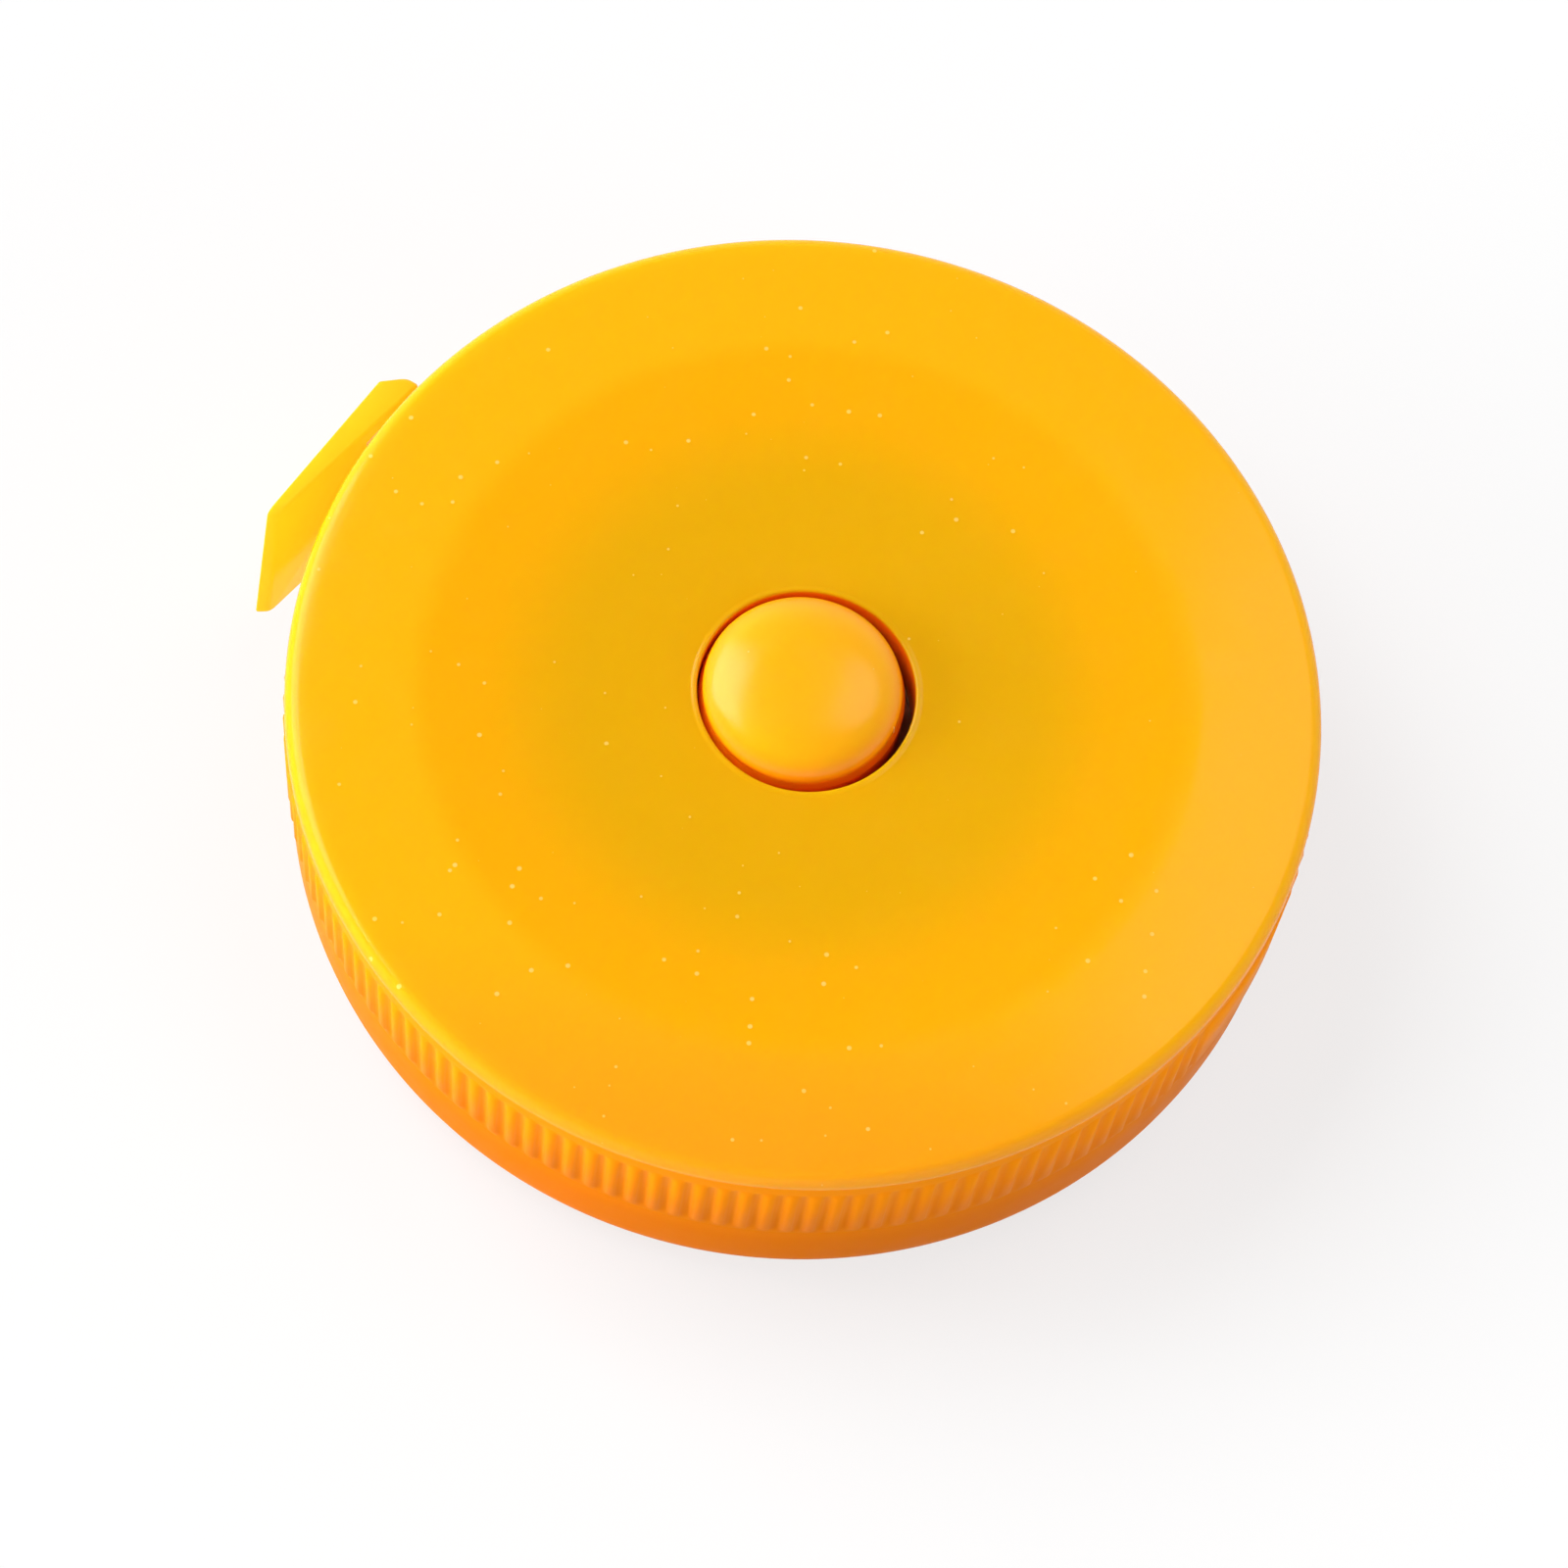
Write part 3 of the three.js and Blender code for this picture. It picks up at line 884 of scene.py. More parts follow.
@dataclass(frozen=True)
class NitrileRubber(Finish):
    """Black nitrile rubber, die cut from a sheet: dull, with a fine fabric-backed grain."""

    name: str = "nitrile_rubber"
    colour: str = "#2B2A29"
    worn: str = "#474442"
    wear: Band = Band(0.45, 0.75)
    grain: float = 0.18
    grain_depth: float = 0.03
    roughness: float = 0.85

    def surface(self, tree: bpy.types.NodeTree) -> bpy.types.Node:
        """Builds the nodes of the surface.

        Args:
            tree: The node tree.

        Returns:
            The shader node.
        """
        place = add_node(tree, "TexCoord").outputs["Object"]
        scale = 1 / (self.grain * MM)
        grain = add_node(tree, "TexNoise", {"Vector": place, "Scale": scale, "Detail": 4.0})
        share = share_within(tree, (grain, self.wear), unit=1)
        tints = {0: share, MIX_FIRST: self.colour, MIX_SECOND: self.worn}
        relief = {"Strength": 0.5, "Distance": self.grain_depth * MM, "Height": grain}
        return add_node(
            tree,
            "BsdfPrincipled",
            {
                "Base Color": add_node(tree, "Mix", tints, data_type="RGBA").outputs[MIX_RESULT],
                "Roughness": self.roughness,
                "IOR": 1.52,
                "Normal": add_node(tree, "Bump", relief),
            },
        )


@dataclass(frozen=True)
class SpringSteel(Finish):
    """Cold-rolled or drawn spring steel, bright with a film of oil and fine rolling lines."""

    name: str = "spring_steel"
    bright: str = "#A9ADB2"
    dark: str = "#6F757C"
    line_width: float = 0.15
    line_depth: float = 0.01
    stretch: Place = (0.08, 0.08, 1.0)

    def surface(self, tree: bpy.types.NodeTree) -> bpy.types.Node:
        """Builds the nodes of the surface.

        Args:
            tree: The node tree.

        Returns:
            The shader node.
        """
        place = add_node(tree, "TexCoord").outputs["Object"]
        rolled = add_node(tree, "Mapping", {"Vector": place, "Scale": self.stretch})
        scale = 1 / (self.line_width * MM)
        lines = add_node(tree, "TexNoise", {"Vector": rolled, "Scale": scale, "Detail": 3.0})
        tints = {0: lines, MIX_FIRST: self.dark, MIX_SECOND: self.bright}
        skin = {"Value": lines, "To Min": 0.2, "To Max": 0.42}
        relief = {"Strength": 0.2, "Distance": self.line_depth * MM, "Height": lines}
        return add_node(
            tree,
            "BsdfPrincipled",
            {
                "Base Color": add_node(tree, "Mix", tints, data_type="RGBA").outputs[MIX_RESULT],
                "Metallic": 1.0,
                "Roughness": add_node(tree, "MapRange", skin),
                "Normal": add_node(tree, "Bump", relief),
            },
        )


@dataclass(frozen=True)
class Tick:
    """A row of printed lines: from one to the next, and how far each reaches in from the edge."""

    spacing: float
    length: float


@dataclass(frozen=True)
class PrintedTape(Finish):
    """White PVC-coated glass-fibre tape, printed with millimetre ticks.

    The eye gets a satin white skin over a faint weave, black ticks on both edges with longer ones
    at 5 and 10 millimetres, and a red line at every 10 centimetres. At a scale of 1 the pattern
    of the weave repeats after its wave period, so its scale is that over the thread spacing.
    """

    name: str = "printed_tape"
    skin: str = "#EEEBE0"
    ink: str = "#23221F"
    red: str = "#C8271E"
    direction: float = 206.0
    bottom: float = 3.25
    top: float = 10.25
    black_ticks: tuple[Tick, ...] = (Tick(1.0, 1.1), Tick(5.0, 1.7), Tick(10.0, 2.4))
    red_tick: Tick = Tick(100.0, 4.0)
    tick_width: float = 0.16
    steepest_edge: float = 0.5
    thread: float = 0.45
    wave_period: float = 0.314
    weave_depth: float = 0.02

    def surface(self, tree: bpy.types.NodeTree) -> bpy.types.Node:
        """Builds the nodes of the surface.

        Args:
            tree: The node tree.

        Returns:
            The shader node.
        """
        place = add_node(tree, "TexCoord").outputs["Object"]
        turn = (0, 0, -math.radians(self.direction))
        mapping = {"Vector": place, "Rotation": turn, "Scale": (1 / MM,) * 3}
        along_tape = add_node(tree, "Mapping", mapping)
        parts = add_node(tree, "SeparateXYZ", {0: along_tape})
        along, height = parts.outputs["X"], parts.outputs["Z"]
        lower = add_node(tree, "Math", {0: height, 1: self.bottom}, operation="SUBTRACT")
        upper = add_node(tree, "Math", {0: self.top, 1: height}, operation="SUBTRACT")
        edge = add_node(tree, "Math", {0: lower, 1: upper}, operation="MINIMUM")
        normal = add_node(tree, "TexCoord").outputs["Normal"]
        upright = add_node(tree, "SeparateXYZ", {0: normal}).outputs["Z"]
        lean = add_node(tree, "Math", {0: upright}, operation="ABSOLUTE")
        on_face = add_node(tree, "Math", {0: lean, 1: self.steepest_edge}, operation="LESS_THAN")
        colour = self.skin
        for ink, ticks in ((self.ink, self.black_ticks), (self.red, (self.red_tick,))):
            printed = self.printed(tree, along, edge, ticks)
            share = add_node(tree, "Math", {0: printed, 1: on_face}, operation="MULTIPLY")
            layers = {0: share, MIX_FIRST: colour, MIX_SECOND: ink}
            colour = add_node(tree, "Mix", layers, data_type="RGBA").outputs[MIX_RESULT]
        weave = add_node(
            tree,
            "TexWave",
            {"Vector": along_tape, "Scale": self.wave_period / self.thread, "Distortion": 0.4},
            wave_type="BANDS",
            bands_direction="Z",
        )
        relief = {
            "Strength": 0.12,
            "Distance": self.weave_depth * MM,
            "Height": weave.outputs[1],
        }
        return add_node(
            tree,
            "BsdfPrincipled",
            {
                "Base Color": colour,
                "Roughness": 0.42,
                "IOR": 1.53,
                "Normal": add_node(tree, "Bump", relief),
            },
        )

    def printed(
        self,
        tree: bpy.types.NodeTree,
        along: bpy.types.NodeSocket,
        edge: bpy.types.Node,
        ticks: Sequence[Tick],
    ) -> bpy.types.Node:
        """Rows of ticks that repeat along the tape.

        Args:
            tree: The node tree.
            along: Place along the tape.
            edge: Distance from the tape's nearer edge.
            ticks: The rows, which are laid over each other.

        Returns:
            The node that gives 1 on a tick.
        """
        ink = None
        for tick in ticks:
            half_way = {0: along, 1: tick.spacing / 2}
            from_tick = add_node(tree, "Math", half_way, operation="PINGPONG")
            width = {0: from_tick, 1: self.tick_width / 2}
            on_line = add_node(tree, "Math", width, operation="LESS_THAN")
            near_edge = add_node(tree, "Math", {0: edge, 1: tick.length}, operation="LESS_THAN")
            row = add_node(tree, "Math", {0: on_line, 1: near_edge}, operation="MULTIPLY")
            if ink is not None:
                row = add_node(tree, "Math", {0: ink, 1: row}, operation="MAXIMUM")
            ink = row
        return ink


@dataclass(frozen=True)
class MatteBoard(Finish):
    """Matte white board under the object, which looks white and keeps a soft shadow.

    Light that it throws back on the object comes from a greyer board, so that it doesn't fill the
    shade on the rim.
    """

    name: str = "matte_white_board"
    grey: str = "#ACACAC"
    white: str = "#F4F4F4"
    lift_colour: str = "#FAFAFA"
    lift: float = 0.75

    def surface(self, tree: bpy.types.NodeTree) -> bpy.types.Node:
        """Builds the nodes of the surface.

        Args:
            tree: The node tree.

        Returns:
            The shader node.
        """
        rays = add_node(tree, "LightPath").outputs
        direct = {0: rays["Is Camera Ray"], 1: rays["Is Glossy Ray"]}
        seen = add_node(tree, "Math", direct, operation="MAXIMUM")
        any_ray = {0: seen, 1: rays["Is Transmission Ray"]}
        seen = add_node(tree, "Math", any_ray, operation="MAXIMUM")
        tints = {0: seen, MIX_FIRST: self.grey, MIX_SECOND: self.white}
        colour = add_node(tree, "Mix", tints, data_type="RGBA").outputs[MIX_RESULT]
        board = add_node(tree, "BsdfDiffuse", {"Color": colour})
        lift = add_node(tree, "Emission", {"Color": self.lift_colour, "Strength": 1.0})
        share = add_node(tree, "Math", {0: seen, 1: self.lift}, operation="MULTIPLY")
        return add_node(tree, "MixShader", {0: share, 1: board, 2: lift})


@dataclass
class CaseFront:
    """Front cover: dished face with a crease ring, button collar, ribbed wall and tape slot."""

    plastic: bpy.types.Material
    rim_plastic: bpy.types.Material
    radius: float = 25.0
    rib_root: float = 24.8
    band_radius: float = 24.9
    inner_radius: float = 23.9
    inner_rounding: float = 0.7
    bottom: float = 6.13
    foot_chamfer: float = 0.04
    rib_bottom: float = 6.85
    rib_slope: float = 0.25
    rib_top: float = 11.45
    rib_shape: tuple[float, ...] = (0.0, 0.12, 0.7, 1.0, 0.7, 0.12)
    band_bottom: float = 11.65
    edge_top: float = 13.35
    edge_fillet: float = 0.7
    crease_radius: float = 18.7
    crease_top: float = 13.55
    shoulder_slope: float = 0.55
    dish: float = 0.2
    hole_radius: float = 5.25
    hole_rounding: float = 0.12
    lip_width: float = 0.2
    lip_height: float = 0.03
    lip_blend: float = 0.25
    support_loops: tuple[float, ...] = (0.08, 0.16)
    rim_foot: float = 24.86
    rim_finish_depth: float = 0.2
    collar_radius: float = 6.6
    collar_bottom: float = 10.2
    collar_rounding: float = 0.12
    roof_underside: float = 12.05
    roof_rounding: float = 0.25
    rim_underside: float = 12.3
    profile_lead: float = 0.2
    key_slot_reach: float = 5.9
    key_slot_width: float = 2.2
    key_slot_top: float = 11.55
    ribs_per_run: int = 67
    land_facets: int = 39
    land_azimuth: float = 156.2
    shoulder_steps: int = 10
    dish_steps: int = 8

    @property
    def run_facets(self) -> int:
        """Facets in one run of ribs."""
        return self.ribs_per_run * len(self.rib_shape)

    @property
    def segments(self) -> int:
        """Facets round the rim: two runs of ribs and two smooth lands."""
        return 2 * (self.run_facets + self.land_facets)

    def face_profile(self) -> list[Point]:
        """The outer face from the rim's fillet in to the button hole.

        Returns:
            Its points as (radius, height).
        """
        points: list[Point] = []
        outer = self.band_radius - self.edge_fillet
        for step in range(1, self.shoulder_steps + 1):
            share = 1 - step / self.shoulder_steps
            radius = self.crease_radius + (outer - self.crease_radius) * share
            fall = self.shoulder_slope * share + (1 - self.shoulder_slope) * share**2
            points.append((radius, self.crease_top + (self.edge_top - self.crease_top) * fall))
        inner = self.hole_radius + self.lip_width + self.lip_blend
        for step in range(1, self.dish_steps + 1):
            radius = self.crease_radius + (inner - self.crease_radius) * step / self.dish_steps
            points.append((radius, self.dish_height(radius)))
        for inset in self.support_loops:
            points.append((inner - inset, self.dish_height(inner - inset)))
        return points

    def dish_height(self, radius: float) -> float:
        """Height of the face inside the crease ring."""
        share = (radius - self.hole_radius) / (self.crease_radius - self.hole_radius)
        return self.crease_top - self.dish * (1 - share**2)

    def profile(self) -> list[Point]:
        """The whole closed profile, from the foot of the collar round to it again.

        Returns:
            Its points as (radius, height), the last the same as the first.
        """
        bore_foot = self.collar_bottom + self.profile_lead
        inside = rounded(
            [
                Corner(self.hole_radius, bore_foot),
                Corner(self.hole_radius, self.collar_bottom, self.collar_rounding),
                Corner(self.collar_radius, self.collar_bottom, self.collar_rounding),
                Corner(self.collar_radius, self.roof_underside, self.roof_rounding),
                Corner(self.crease_radius, self.rim_underside),
                Corner(self.inner_radius, self.rim_underside, self.inner_rounding),
                Corner(self.inner_radius, self.bottom),
                Corner(self.rim_foot - self.foot_chamfer, self.bottom),
            ],
            steps=3,
        )
        wall = [
            (self.rim_foot, self.bottom + self.foot_chamfer),
            (self.rim_foot, self.rib_bottom - self.rib_slope),
            (self.radius, self.rib_bottom),
            (self.radius, self.rib_top),
            (self.band_radius, self.band_bottom),
        ]
        edge = rounded(
            [
                Corner(self.band_radius, self.band_bottom + self.profile_lead),
                Corner(self.band_radius, self.edge_top, self.edge_fillet),
                Corner(self.band_radius - 1, self.edge_top),
            ],
            steps=6,
        )[:-1]
        lip_top = self.dish_height(self.hole_radius) + self.lip_height
        hole = rounded(
            [
                Corner(self.hole_radius + 1, lip_top),
                Corner(self.hole_radius + self.lip_width, lip_top),
                Corner(self.hole_radius, lip_top, self.hole_rounding),
                Corner(self.hole_radius, bore_foot),
            ],
            steps=5,
        )[1:]
        return [*inside, *wall, *edge, *self.face_profile(), *hole]

    def rib_depth(self, place: Vector) -> float:
        """How far the ribbed band is set back at a place.

        Args:
            place: A vertex of the band.

        Returns:
            A share of the rib height: 0 on a crest or a land, 1 in a valley.
        """
        turn = math.atan2(place.y, place.x) - math.radians(self.land_azimuth)
        facet = round(turn / (2 * math.pi) * self.segments - 0.5) % self.segments
        along = (facet - self.land_facets // 2) % (self.run_facets + self.land_facets)
        if along > self.run_facets:
            return 0.0
        return self.rib_shape[along % len(self.rib_shape)]

    def press_ribs(self, piece: bpy.types.Object) -> None:
        """Sets back the valleys between the ribs, one depth at a time.

        Args:
            piece: The cover with a smooth band.
        """
        make_active(piece)
        for depth in sorted(set(self.rib_shape) - {0.0}):
            select_vertices(
                piece,
                lambda place: abs(place.xy.length - self.radius) < NEAR
                and self.rib_bottom - NEAR < place.z < self.rib_top + NEAR
                and self.rib_depth(place) == depth,
            )
            share = 1 - depth * (self.radius - self.rib_root) / self.radius
            bpy.ops.transform.resize(value=(share, share, 1), center_override=(0, 0, 0))
        bpy.ops.object.mode_set(mode="OBJECT")

    def build(self, tape: "TapePath") -> bpy.types.Object:
        """Builds the cover with its tape slot and the key slots of its collar.

        Args:
            tape: The tape, which says where the slot is.

        Returns:
            The finished cover.
        """
        start = math.radians(self.land_azimuth) + math.pi / self.segments - math.pi / 2
        piece = turned("case_front", self.profile(), self.segments, start)
        self.press_ribs(piece)
        cutters = [tape.slot_cutter()]
        for azimuth in KEY_AZIMUTHS:
            low = (0, -self.key_slot_width / 2, self.collar_bottom - 1)
            high = (self.key_slot_reach, self.key_slot_width / 2, self.key_slot_top)
            cutters.append(block("key_slot", low, high, math.radians(azimuth)))
        cut(piece, cutters)
        shade(piece)
        hand_over(piece, self.plastic, Slot.CASE_PLASTIC, Body.CASE, "upper_shell")
        self.dress_rim(piece)
        return piece

    def dress_rim(self, piece: bpy.types.Object) -> None:
        """Gives the ribbed wall the rim's own finish.

        Args:
            piece: The finished cover.
        """
        piece.data.materials.append(self.rim_plastic)
        wall_radius = self.band_radius - self.rim_finish_depth
        wall_top = self.edge_top - self.edge_fillet
        for face in piece.data.polygons:
            middle = face.center / MM
            if middle.xy.length > wall_radius and middle.z < wall_top:
                face.material_index = 1


@dataclass
class CaseBack:
    """Back cover: flat floor with a rounded smooth rim, locating tongue and central post."""

    plastic: bpy.types.Material
    rim_radius: float = 24.85
    rim_foot: float = 24.8
    edge_rounding: float = 2.4
    top: float = 6.1
    rim_edge: float = 0.05
    tongue_outer: float = 23.6
    tongue_inner: float = 23.1
    tongue_top: float = 7.05
    tongue_root: float = 0.8
    small_rounding: float = 0.12
    floor: float = 1.2
    post_radius: float = 2.2
    post_root: float = 0.3
    post_top: float = 6.95
    pin_radius: float = 1.2
    pin_top: float = 11.5
    pin_tip: float = 0.3
    foot_recess: float = 0.25
    recess_middle: float = 2.0
    recess_radius: float = 19.5
    recess_slope: float = 0.35
    recess_rounding: float = 0.2
    foot_rounding: float = 0.3
    arbor_key: tuple[Place, Place] = ((1.0, -0.3, 0.6), (3.0, 0.3, 2.9))
    segments: int = 256

    def profile(self) -> list[Point]:
        """The open profile from the middle of the back round to the top of the guide pin.

        Returns:
            Its points as (radius, height).
        """
        return rounded(
            [
                Corner(self.recess_middle, self.foot_recess),
                Corner(self.recess_radius, self.foot_recess, self.recess_rounding),
                Corner(self.recess_radius + self.recess_slope, 0, self.foot_rounding),
                Corner(self.rim_foot, 0, self.edge_rounding),
                Corner(self.rim_radius, self.top, self.rim_edge),
                Corner(self.tongue_outer, self.top),
                Corner(self.tongue_outer, self.tongue_top, self.small_rounding),
                Corner(self.tongue_inner, self.tongue_top, self.small_rounding),
                Corner(self.tongue_inner, self.floor, self.tongue_root),
                Corner(self.post_radius, self.floor, self.post_root),
                Corner(self.post_radius, self.post_top, self.small_rounding),
                Corner(self.pin_radius, self.post_top, self.small_rounding),
                Corner(self.pin_radius, self.pin_top, self.pin_tip),
                Corner(self.pin_tip, self.pin_top),
            ],
            steps=6,
        )

    def build(self, tape: "TapePath") -> bpy.types.Object:
        """Builds the cover with its half of the tape slot and the key for the arbor.

        Args:
            tape: The tape, which says where the slot is.

        Returns:
            The finished cover.
        """
        piece = turned("case_back", self.profile(), self.segments)
        cut(piece, [tape.slot_cutter()])
        combine(piece, block("arbor_key", *self.arbor_key), "UNION")
        shade(piece)
        hand_over(piece, self.plastic, Slot.CASE_PLASTIC, Body.CASE, "lower_shell")
        return piece


@dataclass
class Button:
    """Domed button on a hollow skirt with three keys, a little off the middle of its hole."""

    plastic: bpy.types.Material
    radius: float = 4.8
    skirt_radius: float = 4.97
    skirt_top: float = 12.7
    skirt_slope: float = 0.35
    skirt_edge: float = 0.1
    bore: float = 3.0
    bore_tip: float = 0.3
    bore_rounding: float = 0.4
    foot: float = 9.4
    foot_rounding: float = 0.12
    shoulder: float = 13.4
    neck: float = 0.3
    dome: float = 1.25
    fullness: float = 0.7
    ceiling: float = 13.0
    key_bottom: float = 10.1
    key_top: float = 11.25
    key_width: float = 1.2
    key_root: float = 0.3
    key_reach: float = 5.4
    play: float = 0.2
    play_azimuth: float = 170.0
    dome_steps: int = 18
    segments: int = 120

    def profile(self) -> list[Point]:
        """The open profile from the middle of the ceiling down the bore and up over the dome.

        Returns:
            Its points as (radius, height).
        """
        skirt = rounded(
            [
                Corner(self.bore_tip, self.ceiling),
                Corner(self.bore, self.ceiling, self.bore_rounding),
                Corner(self.bore, self.foot, self.foot_rounding),
                Corner(self.skirt_radius, self.foot, self.foot_rounding),
                Corner(self.skirt_radius, self.skirt_top, self.skirt_edge),
                Corner(self.radius, self.skirt_top + self.skirt_slope, self.skirt_edge),
                Corner(self.radius, self.shoulder - self.neck),
            ],
            steps=4,
        )
        dome = []
        for step in range(self.dome_steps):
            angle = math.pi / 2 * step / self.dome_steps
            radius = self.radius * math.cos(angle) ** self.fullness
            dome.append((radius, self.shoulder + self.dome * math.sin(angle)))
        return [*skirt, *dome]

    def build(self) -> bpy.types.Object:
        """Builds the button and joins its keys to the skirt.

        Returns:
            The finished button.
        """
        piece = turned("button_cap", self.profile(), self.segments)
        low = (self.bore + self.key_root, -self.key_width / 2, self.key_bottom)
        high = (self.key_reach, self.key_width / 2, self.key_top)
        for azimuth in KEY_AZIMUTHS:
            combine(piece, block("button_key", low, high, math.radians(azimuth)), "UNION")
        make_active(piece)
        azimuth = math.radians(self.play_azimuth)
        piece.location = Vector((math.cos(azimuth), math.sin(azimuth), 0)) * self.play * MM
        settle()
        shade(piece)
        hand_over(piece, self.plastic, Slot.CASE_PLASTIC, Body.BUTTON, "push_button")
        return piece


@dataclass
class PullTab:
    """Wedge-shaped tab that stands against the rim, thick at its root, its free end tilted up."""

    plastic: bpy.types.Material
    length: float = 11.05
    height: float = 9.05
    root_thickness: float = 1.65
    tip_thickness: float = 0.54
    outer_face: float = 27.04
    reach_back: float = 4.1
    tip_bevel: float = 0.44
    root_chamfer: float = 1.13
    corner: float = 0.42
    corner_zone: float = 0.5
    azimuth: float = 156.2
    tilt: float = 10.3
    middle: float = 6.75
    edge_rounding: float = 0.14
    rounded_from: float = 25.0
    upright: float = 0.9
    level: float = 0.1
    crossing: float = 0.3

    @property
    def tip(self) -> float:
        """Where the block ends, measured from the point that touches the tape slot."""
        return self.length - self.reach_back

    def build(self) -> bpy.types.Object:
        """Builds the tab from a block: tapered, chamfered, its corners and edges rounded.

        Returns:
            The finished tab.
        """
        inner_face = self.root_thickness - self.outer_face
        low = (-self.reach_back, -self.outer_face, -self.height / 2)
        piece = block("tab_wedge", low, (self.tip, inner_face, self.height / 2))
        make_active(piece)
        select_vertices(
            piece, lambda place: place.x > self.tip - NEAR and place.y > inner_face - NEAR
        )
        taper = (-self.tip_bevel * MM, (self.tip_thickness - self.root_thickness) * MM, 0)
        bpy.ops.transform.translate(value=taper)
        self.bevel_where(piece, self.root_chamfer, 1, self.on_root_edge)
        self.bevel_where(piece, self.corner, 6, self.on_outline_corner)
        apply_modifier(
            piece,
            "BEVEL",
            width=self.edge_rounding * MM,
            segments=3,
            limit_method="ANGLE",
            angle_limit=math.radians(self.rounded_from),
        )
        close_up(piece)
        piece.rotation_euler = (0, -math.radians(self.tilt), math.radians(self.azimuth + 90))
        piece.location.z = self.middle * MM
        settle()
        shade(piece)
        hand_over(piece, self.plastic, Slot.CASE_PLASTIC, Body.TAB, "pull_tab")
        return piece

    def on_root_edge(self, middle: Vector, line: Vector) -> bool:
        """Whether an edge is the upright one at the root of the outer face."""
        at_root = middle.x < NEAR - self.reach_back and middle.y < NEAR - self.outer_face
        return at_root and abs(line.z) > self.upright

    def on_outline_corner(self, middle: Vector, line: Vector) -> bool:
        """Whether an edge crosses the plate at a corner of its side outline."""
        at_end = middle.x < NEAR - self.reach_back or middle.x > self.tip - self.corner_zone
        return at_end and abs(line.z) < self.level and abs(line.y) > self.crossing

    def bevel_where(
        self,
        piece: bpy.types.Object,
        width: float,
        segments: int,
        test: Callable[[Vector, Vector], bool],
    ) -> None:
        """Bevels the edges that pass a test.

        Args:
            piece: The tab.
            width: Width of the bevel.
            segments: Number of faces across it.
            test: Says of an edge's middle and direction whether it is bevelled.
        """
        bpy.ops.object.mode_set(mode="EDIT")
        bpy.ops.mesh.select_mode(type="EDGE")
        bpy.ops.mesh.select_all(action="DESELECT")
        bpy.ops.object.mode_set(mode="OBJECT")
        mesh = piece.data
        for edge in mesh.edges:
            first, second = (mesh.vertices[i].co / MM for i in edge.vertices)
            edge.select = test((first + second) / 2, (second - first).normalized())
        bpy.ops.object.mode_set(mode="EDIT")
        bpy.ops.mesh.bevel(offset=width * MM, segments=segments, affect="EDGES")
        bpy.ops.object.mode_set(mode="OBJECT")


